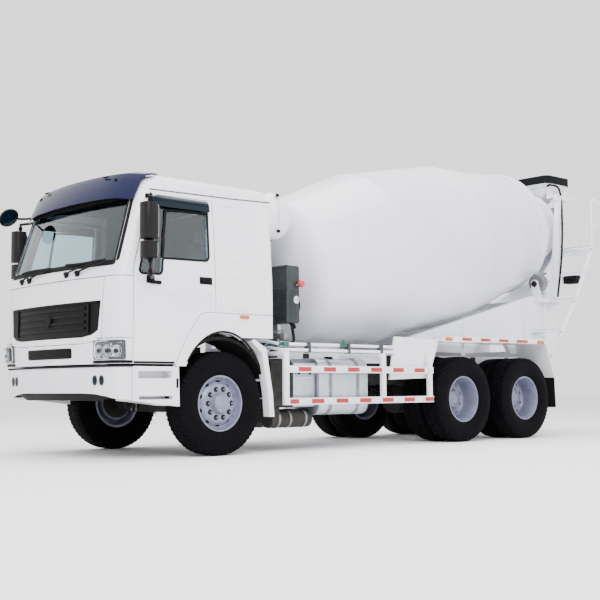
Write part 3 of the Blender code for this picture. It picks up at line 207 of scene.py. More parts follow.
def boltRing(origin, direction, count, pitchRadius, headRadius, height, phase=0.0):
    # six-sided heads set round a circle
    axis = unit(direction)
    first, second = acrossAxes(axis)
    heads = []
    for k in range(count):
        turn = phase + 2 * np.pi * k / count
        place = np.asarray(origin) + pitchRadius * (np.cos(turn) * first + np.sin(turn) * second)
        profile = [(0, 0), (0, headRadius), (height * 0.8, headRadius), (height, headRadius * 0.8), (height, 0)]
        heads.append(lathePart(profile, place, axis, 6))
    return heads


def makePiece(name, parts, finish, body, sharp=35.0, inAxleFrame=True):
    # one mesh from several parts, in the truck's own frame, riding on a body
    points = np.concatenate([part[0] for part in parts])
    if inAxleFrame:
        points = points + (0.0, axleY, 0.0)
    faces = []
    start = 0
    for part in parts:
        faces += [[start + k for k in face] for face in part[1]]
        start += len(part[0])
    mesh = bpy.data.meshes.new(name)
    mesh.from_pydata(points.tolist(), [], faces)
    work = bmesh.new()
    work.from_mesh(mesh)
    bmesh.ops.remove_doubles(work, verts=work.verts, dist=0.00002)
    bmesh.ops.dissolve_degenerate(work, edges=work.edges, dist=0.00001)
    bmesh.ops.recalc_face_normals(work, faces=work.faces)
    work.to_mesh(mesh)
    work.free()
    mesh.shade_smooth()
    mesh.set_sharp_from_angle(angle=math.radians(sharp))
    piece = bpy.data.objects.new(name, mesh)
    bpy.context.collection.objects.link(piece)
    mesh.materials.append(finishes[finish])
    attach(piece, body)
    return piece


# ---- finishes
def srgb(hexText):
    values = [int(hexText[k:k + 2], 16) / 255 for k in (1, 3, 5)]
    return [v / 12.92 if v <= 0.04045 else ((v + 0.055) / 1.055) ** 2.4 for v in values] + [1.0]


def addNode(tree, kind, settings=None, links=None):
    node = tree.nodes.new(kind)
    for key, value in (settings or {}).items():
        if isinstance(key, str) and key in node.inputs:
            node.inputs[key].default_value = value
        elif isinstance(key, int):
            node.inputs[key].default_value = value
        else:
            setattr(node, key, value)
    for key, socket in (links or {}).items():
        tree.links.new(socket, node.inputs[key])
    return node


def finishOf(spec):
    # noise clouds the colour and the roughness, and a finer grain lifts the surface by bump millimetres
    material = bpy.data.materials.new(spec["name"])
    material.use_nodes = True
    tree = material.node_tree
    shader = tree.nodes["Principled BSDF"]
    place = addNode(tree, "ShaderNodeTexCoord").outputs["Object"]
    stretch = addNode(tree, "ShaderNodeMapping", {"Scale": spec.get("stretch", (1.0, 1.0, 1.0))}, {"Vector": place})
    cloud = addNode(tree, "ShaderNodeTexNoise", {"Scale": 1000.0 / spec["cloudMm"], "Detail": 4.0, "Roughness": 0.6},
                    {"Vector": place})
    ramp = addNode(tree, "ShaderNodeMapRange", {"From Min": spec.get("cloudLow", 0.35), "From Max": 0.75},
                   {"Value": cloud.outputs["Fac"]})
    mixed = addNode(tree, "ShaderNodeMix", {"data_type": "RGBA"}, {"Factor": ramp.outputs["Result"]})
    mixed.inputs[6].default_value = srgb(spec["base"])
    mixed.inputs[7].default_value = srgb(spec["shade"])
    colour = mixed.outputs[2]
    if "dirtAndShade" in spec:                       # road dirt and painted shade: a brown-grey mixed in, strongest near the ground and flecked by the cloud noise
        height = addNode(tree, "ShaderNodeSeparateXYZ", {}, {"Vector": place}).outputs["Z"]
        low = addNode(tree, "ShaderNodeMapRange", {"From Min": 0.3, "From Max": 1.5, "To Min": spec["dirtAndShade"], "To Max": 0.0},
                      {"Value": height})
        speck = addNode(tree, "ShaderNodeMath", {"operation": "MULTIPLY"}, {0: low.outputs["Result"], 1: cloud.outputs["Fac"]})
        dirtAndShadeMix = addNode(tree, "ShaderNodeMix", {"data_type": "RGBA"}, {"Factor": speck.outputs["Value"], 6: colour})
        # brown-grey of road dust, which on light finishes also paints shade low down
        dirtAndShadeMix.inputs[7].default_value = srgb("#8B8378")
        colour = dirtAndShadeMix.outputs[2]
    grainKind = "ShaderNodeTexVoronoi" if spec.get("grain") == "cells" else "ShaderNodeTexNoise"
    grain = addNode(tree, grainKind, {"Scale": 1000.0 / spec["grainMm"]}, {"Vector": stretch.outputs["Vector"]})
    grainOut = grain.outputs["Distance" if grainKind.endswith("Voronoi") else "Fac"]
    rough = addNode(tree, "ShaderNodeMapRange", {"To Min": spec["rough"] - spec["roughSpread"],
                                                 "To Max": spec["rough"] + spec["roughSpread"]}, {"Value": grainOut})
    bump = addNode(tree, "ShaderNodeBump", {"Strength": spec.get("lift", 0.3), "Distance": spec["bumpMm"] / 1000.0},
                   {"Height": grainOut})
    tree.links.new(colour, shader.inputs["Base Color"])
    tree.links.new(rough.outputs["Result"], shader.inputs["Roughness"])
    tree.links.new(bump.outputs["Normal"], shader.inputs["Normal"])
    for key, value in spec.get("sockets", {}).items():
        shader.inputs[key].default_value = value
    return material


finishSpecs = {
    # sprayed two-pack enamel: clean white, faint orange peel under a clear gloss
    "whiteEnamel": {"name": "sprayed_white_enamel", "slot": "white_paint", "base": "#ECEDF2", "shade": "#DFE1EA",
                    "cloudMm": 900, "rough": 0.30, "roughSpread": 0.04, "grainMm": 9, "bumpMm": 0.25, "lift": 0.15,
                    "dirtAndShade": 0.22, "sockets": {"Coat Weight": 0.35, "Coat Roughness": 0.10}},
    # drum enamel: thicker, slightly wavy over rolled sheet, with a cool cast
    "drumEnamel": {"name": "rolled_sheet_drum_enamel", "slot": "drum_paint", "base": "#E8E8F0", "shade": "#D3D4E1",
                   "cloudMm": 1400, "rough": 0.34, "roughSpread": 0.06, "grainMm": 260, "bumpMm": 3.0, "lift": 0.25,
                   "sockets": {"Coat Weight": 0.35, "Coat Roughness": 0.15}},
    # visor enamel: deep navy gloss
    "navyEnamel": {"name": "navy_gloss_enamel", "slot": "navy", "base": "#06103A", "shade": "#040B2C",
                   "cloudMm": 500, "rough": 0.26, "roughSpread": 0.05, "grainMm": 8, "bumpMm": 0.2, "lift": 0.15,
                   "sockets": {"Coat Weight": 0.12, "Coat Roughness": 0.10, "Specular IOR Level": 0.2}},
    # injection-moulded black plastic: fine leather-like grain, dull
    "blackPlastic": {"name": "moulded_black_plastic", "slot": "black_plastic", "base": "#050507", "shade": "#030304",
                     "cloudMm": 120, "rough": 0.52, "roughSpread": 0.08, "grainMm": 3, "grain": "cells", "bumpMm": 0.3,
                     "sockets": {"Specular IOR Level": 0.12}},
    "mirrorPlastic": {"name": "moulded_brown_black_plastic", "slot": "black_plastic", "base": "#0F0B0C", "shade": "#0A0708",
                      "cloudMm": 150, "rough": 0.45, "roughSpread": 0.08, "grainMm": 3, "grain": "cells", "bumpMm": 0.3,
                      "sockets": {"Specular IOR Level": 0.2}},
    # chassis black: brushed-on paint over scaled steel, dusty
    "chassisBlack": {"name": "chassis_black_paint", "slot": "dark_steel", "base": "#0B0B0C", "shade": "#141312",
                     "cloudMm": 60, "rough": 0.60, "roughSpread": 0.12, "grainMm": 7, "bumpMm": 0.6, "dirtAndShade": 0.15,
                     "sockets": {"Specular IOR Level": 0.25}},
    "castIron": {"name": "sand_cast_iron_paint", "slot": "dark_steel", "base": "#0D0C0A", "shade": "#151310",
                 "cloudMm": 40, "rough": 0.68, "roughSpread": 0.12, "grainMm": 4, "bumpMm": 0.8, "dirtAndShade": 0.15,
                 "sockets": {"Specular IOR Level": 0.25}},
    "wornSteel": {"name": "rolled_worn_steel", "slot": "dark_steel", "base": "#8C8D90", "shade": "#6E6C69",
                  "cloudMm": 80, "rough": 0.38, "roughSpread": 0.12, "grainMm": 6, "bumpMm": 0.3,
                  "sockets": {"Metallic": 0.9}},
    # moulded tyre rubber: matt near-black with a brown-grey bloom
    "tyreRubber": {"name": "moulded_tyre_rubber", "slot": "tyre", "base": "#040306", "shade": "#07060A",
                   "cloudMm": 160, "rough": 0.74, "roughSpread": 0.08, "grainMm": 4, "bumpMm": 0.5,
                   "sockets": {"Specular IOR Level": 0.07}},
    "softRubber": {"name": "extruded_black_rubber", "slot": "black_plastic", "base": "#060607", "shade": "#0A0A0B",
                   "cloudMm": 60, "rough": 0.70, "roughSpread": 0.08, "grainMm": 3, "bumpMm": 0.3,
                   "sockets": {"Specular IOR Level": 0.2}},
    # wheel enamel: silver with a lavender cast, fine metal flake
    "wheelEnamel": {"name": "silver_wheel_enamel", "slot": "rim_paint", "base": "#7E8098", "shade": "#66687F",
                    "cloudMm": 90, "rough": 0.40, "roughSpread": 0.08, "grainMm": 3, "bumpMm": 0.2, "dirtAndShade": 0.1,
                    "sockets": {"Metallic": 0.35}},
    # mill-finish aluminium: drawn lines along the tank
    "aluminium": {"name": "mill_finish_aluminium", "slot": "aluminium", "base": "#C3C6CF", "shade": "#AEB2BC",
                  "cloudMm": 200, "rough": 0.34, "roughSpread": 0.10, "grainMm": 5, "stretch": (1.0, 0.05, 1.0),
                  "bumpMm": 0.15, "sockets": {"Metallic": 0.85}},
    "coolerPaint": {"name": "grey_green_fin_paint", "slot": "cooler", "base": "#1E272B", "shade": "#141B1E",
                    "cloudMm": 80, "rough": 0.50, "roughSpread": 0.10, "grainMm": 5, "bumpMm": 0.3},
    "linerSteel": {"name": "dark_hopper_liner", "slot": "hopper_rubber", "base": "#05070C", "shade": "#090B10",
                   "cloudMm": 120, "rough": 0.62, "roughSpread": 0.10, "grainMm": 6, "bumpMm": 0.5,
                   "sockets": {"Specular IOR Level": 0.12}},
    # tinted float glass: teal-blue, very smooth
    "tintedGlass": {"name": "tinted_float_glass", "slot": "glass", "base": "#C4DCE2", "shade": "#BAD5DC",
                    "cloudMm": 900, "rough": 0.01, "roughSpread": 0.005, "grainMm": 2000, "bumpMm": 0.0, "lift": 0.0,
                    "sockets": {"Transmission Weight": 1.0, "IOR": 1.45}},
    # smoked acrylic over the door window: dark teal, clear enough to hint at what is behind
    "smokedAcrylic": {"name": "moulded_smoked_acrylic", "slot": "glass", "base": "#041520", "shade": "#03101A",
                      "cloudMm": 300, "rough": 0.12, "roughSpread": 0.03, "grainMm": 60, "bumpMm": 0.1, "lift": 0.1,
                      "sockets": {"Specular IOR Level": 0.15}},
    # cab lining: dark teal-blue needled cloth on board
    "cabLining": {"name": "needled_lining_cloth", "slot": "seat_cloth", "base": "#071E2A", "shade": "#051620",
                  "cloudMm": 150, "rough": 0.85, "roughSpread": 0.08, "grainMm": 5, "grain": "cells", "bumpMm": 0.8,
                  "sockets": {"Specular IOR Level": 0.2}},
    "mirrorGlass": {"name": "silvered_mirror_glass", "slot": "glass", "base": "#DDE2E6", "shade": "#D2D8DD",
                    "cloudMm": 500, "rough": 0.04, "roughSpread": 0.01, "grainMm": 300, "bumpMm": 0.1, "lift": 0.05,
                    "sockets": {"Metallic": 1.0}},
    "lampGlass": {"name": "clear_lamp_lens", "slot": "glass", "base": "#F4F7FA", "shade": "#E8EEF3",
                  "cloudMm": 40, "rough": 0.03, "roughSpread": 0.01, "grainMm": 200, "bumpMm": 0.1, "lift": 0.05,
                  "sockets": {"Transmission Weight": 1.0, "IOR": 1.45}},
    "reflector": {"name": "vacuum_metallised_reflector", "slot": "chrome_rod", "base": "#C6CAD2", "shade": "#6E747E",
                  "cloudMm": 45, "rough": 0.14, "roughSpread": 0.05, "grainMm": 18, "bumpMm": 0.8,
                  "sockets": {"Metallic": 1.0}},
    "amberLens": {"name": "moulded_amber_lens", "slot": "glass", "base": "#C05C0A", "shade": "#A84E08",
                  "cloudMm": 30, "rough": 0.18, "roughSpread": 0.05, "grainMm": 4, "grain": "cells", "bumpMm": 0.4,
                  "sockets": {"Coat Weight": 0.8}},
    "redLens": {"name": "moulded_red_lens", "slot": "glass", "base": "#A3161B", "shade": "#8A1015",
                "cloudMm": 30, "rough": 0.18, "roughSpread": 0.05, "grainMm": 4, "grain": "cells", "bumpMm": 0.4,
                "sockets": {"Coat Weight": 0.8}},
    # retroreflective tape: honeycomb cells under a clear film
    "redTape": {"name": "red_reflective_tape", "slot": "glass", "base": "#B00512", "shade": "#98040E",
                "cloudMm": 50, "rough": 0.32, "roughSpread": 0.08, "grainMm": 5, "grain": "cells", "bumpMm": 0.2,
                "sockets": {"Coat Weight": 0.25}},
    "whiteTape": {"name": "white_reflective_tape", "slot": "glass", "base": "#E4E6E8", "shade": "#D3D6DA",
                  "cloudMm": 50, "rough": 0.30, "roughSpread": 0.08, "grainMm": 5, "grain": "cells", "bumpMm": 0.2,
                  "sockets": {"Coat Weight": 0.25}},
    "greenPaint": {"name": "green_valve_paint", "slot": "cooler", "base": "#12614A", "shade": "#0D4B39",
                   "cloudMm": 40, "rough": 0.42, "roughSpread": 0.08, "grainMm": 4, "bumpMm": 0.3},
    "redPaint": {"name": "red_knob_plastic", "slot": "glass", "base": "#C02A34", "shade": "#A51F29",
                 "cloudMm": 40, "rough": 0.32, "roughSpread": 0.06, "grainMm": 4, "bumpMm": 0.2,
                 "sockets": {"Coat Weight": 0.5}},
    "tealHose": {"name": "teal_rubber_hose", "slot": "cooler", "base": "#2E6A6C", "shade": "#245456",
                 "cloudMm": 40, "rough": 0.55, "roughSpread": 0.08, "grainMm": 4, "bumpMm": 0.3},
    "polishedRod": {"name": "hard_chromed_rod", "slot": "chrome_rod", "base": "#D5D6D8", "shade": "#C4C5C8",
                    "cloudMm": 90, "rough": 0.12, "roughSpread": 0.04, "grainMm": 20, "bumpMm": 0.05,
                    "sockets": {"Metallic": 1.0}},
    "seatCloth": {"name": "woven_seat_cloth", "slot": "seat_cloth", "base": "#3C424C", "shade": "#2C3038",
                  "cloudMm": 60, "rough": 0.88, "roughSpread": 0.06, "grainMm": 6, "grain": "cells", "bumpMm": 1.2,
                  "sockets": {"Sheen Weight": 0.4}},
    "trimPlastic": {"name": "moulded_grey_trim", "slot": "black_plastic", "base": "#3B3F46", "shade": "#30343A",
                    "cloudMm": 200, "rough": 0.60, "roughSpread": 0.08, "grainMm": 3, "grain": "cells", "bumpMm": 0.3},
}
finishes = {key: finishOf(spec) for key, spec in finishSpecs.items()}
print("finishes made:", len(finishes))


def softNormals():
    # a node group that joins loose triangles and shades smooth all edges flatter than 32 degrees
    group = bpy.data.node_groups.new("softNormals", "GeometryNodeTree")
    group.interface.new_socket("Geometry", in_out="INPUT", socket_type="NodeSocketGeometry")
    group.interface.new_socket("Geometry", in_out="OUTPUT", socket_type="NodeSocketGeometry")
    start = group.nodes.new("NodeGroupInput")
    end = group.nodes.new("NodeGroupOutput")
    welded = addNode(group, "GeometryNodeMergeByDistance", {"Distance": 0.00005}, {"Geometry": start.outputs[0]})
    smooth = addNode(group, "GeometryNodeSetShadeSmooth", {"domain": "FACE"}, {"Geometry": welded.outputs[0]})
    angle = addNode(group, "GeometryNodeInputMeshEdgeAngle")
    steep = addNode(group, "FunctionNodeCompare", {"operation": "GREATER_THAN", 1: math.radians(32.0)},
                    {0: angle.outputs["Unsigned Angle"]})
    creased = addNode(group, "GeometryNodeSetShadeSmooth", {"domain": "EDGE", "Shade Smooth": False},
                      {"Geometry": smooth.outputs[0], "Selection": steep.outputs[0]})
    group.links.new(creased.outputs[0], end.inputs[0])
    return group


softGroup = softNormals()


def dressNode(name, finish, bevel=0.0):
    # the node keeps its shape and gets its real finish, soft shading and, where wanted, rounded edges
    piece = nodes[name]
    for slotIndex in range(len(piece.material_slots)):
        piece.material_slots[slotIndex].material = finishes[finish]
    if not piece.material_slots:
        piece.data.materials.append(finishes[finish])
    if bevel:
        weld = piece.modifiers.new("weld", "WELD")
        weld.merge_threshold = 0.00005
        edge = piece.modifiers.new("edge", "BEVEL")
        edge.width = bevel
        edge.segments = 2
        edge.limit_method = "ANGLE"
        edge.angle_limit = math.radians(40.0)
        edge.harden_normals = False
    soft = piece.modifiers.new("soft", "NODES")
    soft.node_group = softGroup


nodeFinish = {
    "chassis_frame": "chassisBlack", "subframe": "whiteEnamel", "front_axle": "castIron", "bogie": "castIron",
    "engine": "castIron", "front_bumper": "whiteEnamel", "front_wing_left": "whiteEnamel",
    "front_wing_right": "whiteEnamel", "fuel_tank": "aluminium", "battery_box": "aluminium",
    "air_tanks": "chassisBlack", "silencer": "wornSteel", "side_guard_left": "whiteEnamel",
    "side_guard_right": "whiteEnamel", "mudguard_left": "whiteEnamel", "mudguard_right": "whiteEnamel",
    "drum_gearbox": "castIron", "water_tank": "whiteEnamel", "oil_cooler": "coolerPaint",
    "rear_frame": "whiteEnamel", "hopper": "whiteEnamel", "discharge_collector": "whiteEnamel",
    "ladder": "whiteEnamel", "tail_bar": "chassisBlack", "knuckle_left": "castIron", "knuckle_right": "castIron",
    "tie_rod": "castIron", "roller_left": "wornSteel", "roller_right": "wornSteel", "cab_shell": "whiteEnamel",
    "windscreen": "tintedGlass", "sun_visor": "navyEnamel", "dashboard": "blackPlastic", "fender_left": "whiteEnamel",
    "fender_right": "whiteEnamel", "headlight_panel": "whiteEnamel", "front_lid": "whiteEnamel",
    "grille": "blackPlastic", "door_left": "whiteEnamel", "door_right": "whiteEnamel",
    "door_glass_left": "tintedGlass", "door_glass_right": "tintedGlass", "mirror_left": "mirrorPlastic",
    "mirror_right": "mirrorPlastic", "chute_swivel": "chassisBlack", "chute": "whiteEnamel",
    "jack_tube": "chassisBlack", "jack_rod": "polishedRod", "seat_left": "seatCloth", "seat_right": "seatCloth"}
roundedNodes = {"mirror_left": 0.018, "mirror_right": 0.018, "side_guard_left": 0.005, "side_guard_right": 0.005,
                "oil_cooler": 0.008, "tail_bar": 0.006, "fuel_tank": 0.006, "battery_box": 0.006}
for nodeName, finishName in nodeFinish.items():
    dressNode(nodeName, finishName, roundedNodes.get(nodeName, 0.0))

# ---- tyres and wheels
tyreSize = {"radius": 0.5625, "halfWidth": 0.1575, "bead": 0.2855, "lugs": 60, "grooveDepth": 0.013,
            "grooveHalf": 0.0045, "grooves": (0.034, 0.074)}


def tyrePart(middle, outward):
    # section: bead, bulged sidewall, shoulder and tread; the tread sinks by grooveDepth in the
    # ring grooves and in the slots between the shoulder lugs
    r, w = tyreSize["radius"], tyreSize["halfWidth"]
    side = np.array([(0.108, 0.2855), (0.113, 0.296), (0.116, 0.306), (0.128, 0.318), (0.142, 0.345),
                     (0.1515, 0.378), (0.1565, 0.410), (0.1575, 0.432), (0.1555, 0.4335), (0.1558, 0.442),
                     (0.1572, 0.444), (0.1545, 0.470), (0.150, 0.492), (0.1475, 0.500), (0.1475, 0.508),
                     (0.1430, 0.524), (0.1370, 0.540), (0.1290, 0.551), (0.1180, 0.5565), (0.104, 0.5590)])
    edges = []
    for groove in sorted(tyreSize["grooves"], reverse=True):
        half = tyreSize["grooveHalf"]
        edges += [groove + half, groove + half * 0.7, groove - half * 0.7, groove - half]
    treadX = np.array([0.090] + edges + [0.016, 0.0])
    treadR = r - 0.0035 * (treadX / 0.104) ** 2
    outer = np.concatenate([side, np.stack([treadX, treadR], -1)])
    section = np.concatenate([outer, (outer * (-1, 1))[::-1][1:]])
    segments = tyreSize["lugs"] * 4
    grid = latheGrid(section, middle, (outward, 0, 0), segments)
    x, radius = section[:, 0], section[:, 1]
    inGroove = np.zeros(len(section), bool)
    for groove in tyreSize["grooves"]:
        inGroove |= np.abs(np.abs(x) - groove) < tyreSize["grooveHalf"] * 0.8
    phase = (np.arange(segments) % 4)[None, :]
    slot = (phase == (np.where(x > 0, 0, 2))[:, None]) & (radius > 0.505)[:, None] & (np.abs(x) > 0.080)[:, None]
    rib = (phase == 1) & (np.abs(x) < 0.028)[:, None]
    sink = np.where(inGroove[:, None], tyreSize["grooveDepth"], 0.0)
    sink = np.maximum(sink, np.where(slot, tyreSize["grooveDepth"] * 0.85, 0.0))
    sink = np.maximum(sink, np.where(rib & (phase == 1), 0.003, 0.0))
    spoke = grid - (np.asarray(middle) + x[:, None, None] * np.array([outward, 0, 0]))
    spoke /= np.linalg.norm(spoke, axis=-1)[..., None]
    inward = np.where(radius[:, None, None] > 0.545, spoke, spoke * 0.45 + np.sign(x)[:, None, None]
                      * np.array([outward, 0.0, 0.0]) * 0.6)
    return gridPart(grid - inward * sink[..., None], wrapRows=True, wrapCols=True)


def studWellShade(seat, outward, pitchRadius, holeRadius):
    # a ring of ten stud holes in black, each a lip, a well and a flat bottom: painted shade in the holes
    profile = [(-0.002, 0), (-0.002, holeRadius), (0.003, holeRadius), (0.004, holeRadius * 0.85),
               (0.001, holeRadius * 0.7), (0.001, 0)]
    return boltPlaces(profile, seat, outward, pitchRadius, 20)


def boltPlaces(profile, seat, outward, pitchRadius, sides):
    first, second = acrossAxes(np.array([outward, 0.0, 0.0]))
    turns = np.arange(10) * 2 * np.pi / 10
    places = [np.asarray(seat) + pitchRadius * (np.cos(t) * first + np.sin(t) * second) for t in turns]
    return [lathePart(profile, place, (outward, 0, 0), sides) for place in places]


def handHoleShade(seat, outward, pitchRadius):
    # ten hand holes between the studs drawn as closed black ovals, painted shade where the disc would open: ovals lying
    # along the rim's turn and leaning with the disc
    parts = []
    for k in range(10):
        turn = (k + 0.5) * 2 * np.pi / 10
        t = np.linspace(0, 2 * np.pi, 20, endpoint=False)
        around = turn + 0.105 * np.cos(t)
        radius = pitchRadius + 0.0125 * np.sin(t)
        lean = (pitchRadius - radius) * 1.15
        rings = []
        for lift, size in ((-0.010, 0.9), (0.002, 1.0), (0.001, 0.8)):
            a = turn + (around - turn) * size
            r = pitchRadius + (radius - pitchRadius) * size
            rings.append(np.stack([seat[0] + outward * (lift + lean * size), seat[1] + r * np.cos(a),
                                   seat[2] + r * np.sin(a)], -1))
        parts.append(gridPart(np.array(rings), wrapCols=True, capStart=True, capEnd=True))
    return parts


def frontWheel(side, outward):
    body = "front_wheel_" + side
    middle = (outward * frontWheelX, 0.0, axleZ)
    tyre = makePiece("tyre_front_" + side + "_rubber", [tyrePart(middle, outward)], "tyreRubber", body, 30)
    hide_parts("tyre_front_" + side)
    face = [(0.119, 0.302), (0.121, 0.297), (0.119, 0.286), (0.100, 0.279), (0.070, 0.270), (0.058, 0.262),
            (0.056, 0.254), (0.060, 0.247), (0.066, 0.240), (0.072, 0.233), (0.078, 0.226), (0.084, 0.219),
            (0.090, 0.212), (0.095, 0.205), (0.099, 0.197), (0.102, 0.188), (0.1035, 0.178), (0.1035, 0.120),
            (0.106, 0.118), (0.150, 0.104), (0.160, 0.098), (0.164, 0.090), (0.165, 0.060), (0.170, 0.056),
            (0.171, 0.0)]
    front = latheGrid(face, middle, (outward, 0, 0), 180)
    back = [(-0.030, 0.0), (-0.030, 0.043), (-0.098, 0.043), (-0.098, 0.205), (0.020, 0.212), (0.030, 0.245),
            (-0.090, 0.262), (-0.119, 0.275), (-0.121, 0.297), (-0.118, 0.302), (-0.112, 0.300), (-0.1085, 0.2850),
            (0.1085, 0.2850), (0.113, 0.300), (0.119, 0.302)]
    rim = gridPart(np.concatenate([latheGrid(back, middle, (outward, 0, 0), 180), front[1:]]), wrapCols=True)
    piece = makePiece("rim_front_" + side + "_disc", [rim], "wheelEnamel", body, 40)
    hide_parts("rim_front_" + side)
    seat = (middle[0] + outward * 0.1030, 0.0, axleZ)
    # black wells round the studs: painted shade in the stud holes
    makePiece("stud_well_shade_front_" + side, studWellShade(seat, outward, 0.158, 0.029), "softRubber", body)
    makePiece("wheel_studs_front_" + side, boltRing(seat, (outward, 0, 0), 10, 0.158, 0.0125, 0.020), "wornSteel", body)
    screws = boltRing((middle[0] + outward * 0.1645, 0.0, axleZ), (outward, 0, 0), 8, 0.075, 0.007, 0.005)
    makePiece("hub_screws_front_" + side, screws, "wornSteel", body)
    # black ovals on the disc: painted shade for the hand holes
    holeShades = handHoleShade((middle[0] + outward * 0.0645, 0.0, axleZ), outward, 0.243)
    makePiece("hand_hole_shade_front_" + side, holeShades, "softRubber", body)
    valve = hosePart([(middle[0] + outward * 0.064, 0.03, axleZ + 0.246), (middle[0] + outward * 0.095, 0.03, axleZ + 0.250),
                      (middle[0] + outward * 0.112, 0.028, axleZ + 0.238)], 0.004, 8, 6)
    makePiece("tyre_valve_front_" + side, [valve], "polishedRod", body)


def twinWheel(axle, side, outward):
    body = "wheel_" + axle + "_" + side
    node = "twin_wheel_" + axle + "_" + side
    low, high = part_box(node)
    y = (low[1] + high[1]) / 2 - axleY
    outerX = (high[0] if outward > 0 else low[0]) - outward * tyreSize["halfWidth"]
    innerX = (low[0] if outward > 0 else high[0]) + outward * tyreSize["halfWidth"]
    rubber = [tyrePart((outerX, y, axleZ), outward), tyrePart((innerX, y, axleZ), outward)]
    tyre = makePiece(node + "_rubber", rubber, "tyreRubber", body, 30)
    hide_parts(node)
    middle = (outerX, y, axleZ)
    gap = abs(outerX - innerX)
    face = [(0.119, 0.302), (0.121, 0.297), (0.119, 0.286), (0.095, 0.277), (0.050, 0.263), (-0.020, 0.258),
            (-0.085, 0.252), (-0.098, 0.247), (-0.108, 0.240), (-0.115, 0.233), (-0.121, 0.226), (-0.127, 0.219),
            (-0.132, 0.212), (-0.137, 0.205), (-0.141, 0.197), (-0.144, 0.188), (-0.146, 0.178), (-0.147, 0.165),
            (-0.147, 0.122), (-0.142, 0.118), (-0.060, 0.112), (-0.045, 0.106), (-0.040, 0.096), (-0.036, 0.060),
            (-0.032, 0.056), (-0.031, 0.0)]
    front = latheGrid(face, middle, (outward, 0, 0), 180)
    back = [(-0.330, 0.0), (-0.330, 0.055), (-0.400, 0.055), (-0.400, 0.205), (-0.240, 0.212), (-0.225, 0.245),
            (-gap - 0.100, 0.268), (-gap - 0.119, 0.277), (-gap - 0.121, 0.297), (-gap - 0.118, 0.302),
            (-gap - 0.1085, 0.285), (-gap + 0.1085, 0.285), (-gap + 0.113, 0.301), (-0.113, 0.301), (-0.1085, 0.285),
            (0.1085, 0.285), (0.113, 0.301), (0.119, 0.302)]
    rim = gridPart(np.concatenate([latheGrid(back, middle, (outward, 0, 0), 180), front[1:]]), wrapCols=True)
    makePiece(node + "_rims", [rim], "wheelEnamel", body, 40)
    seat = (middle[0] - outward * 0.1475, y, axleZ)
    # black wells round the studs: painted shade in the stud holes
    makePiece(node + "_stud_well_shade", studWellShade(seat, outward, 0.150, 0.026), "softRubber", body)
    nuts = boltRing(seat, (outward, 0, 0), 10, 0.150, 0.013, 0.030)
    nuts += boltRing((middle[0] - outward * 0.037, y, axleZ), (outward, 0, 0), 8, 0.078, 0.007, 0.006)
    makePiece(node + "_nuts", nuts, "wornSteel", body)
    # black ovals on the disc: painted shade for the hand holes
    holeShades = handHoleShade((middle[0] - outward * 0.1205, y, axleZ), outward, 0.226)
    makePiece(node + "_hand_hole_shade", holeShades, "softRubber", body)


for side, outward in (("left", 1), ("right", -1)):
    frontWheel(side, outward)
    for axle in ("mid", "rear"):
        twinWheel(axle, side, outward)
print("wheels made")

# ---- mixing drum
drumShape = {"foot": (0.0, 1.900, 2.209), "tilt": math.radians(11.35), "segments": 160}
drumAxis = np.array([0.0, math.cos(drumShape["tilt"]), math.sin(drumShape["tilt"])])
drumUp = np.array([0.0, -math.sin(drumShape["tilt"]), math.cos(drumShape["tilt"])])
drumFoot = np.array(drumShape["foot"])


def softCorners(profile, reach, steps=4):
    # each corner of a profile replaced by a short curve that starts and ends reach away from it
    profile = np.asarray(profile, float)
    points = [profile[0]]
    for before, here, after in zip(profile, profile[1:], profile[2:]):
        toBefore, toAfter = before - here, after - here
        near = min(reach, 0.45 * np.linalg.norm(toBefore), 0.45 * np.linalg.norm(toAfter))
        start, end = here + unit(toBefore) * near, here + unit(toAfter) * near
        t = np.linspace(0, 1, steps + 1)[:, None]
        points += list((1 - t) ** 2 * start + 2 * t * (1 - t) * here + t ** 2 * end)
    points.append(profile[-1])
    return np.array(points)


def weldBead(station, radius, slope):
    # a raised bead, 12 mm wide and 3 mm high, laid round the drum
    return [(station - 0.008, radius - 0.008 * slope - 0.001), (station - 0.004, radius - 0.004 * slope + 0.0035),
            (station + 0.004, radius + 0.004 * slope + 0.0035), (station + 0.008, radius + 0.008 * slope - 0.001)]


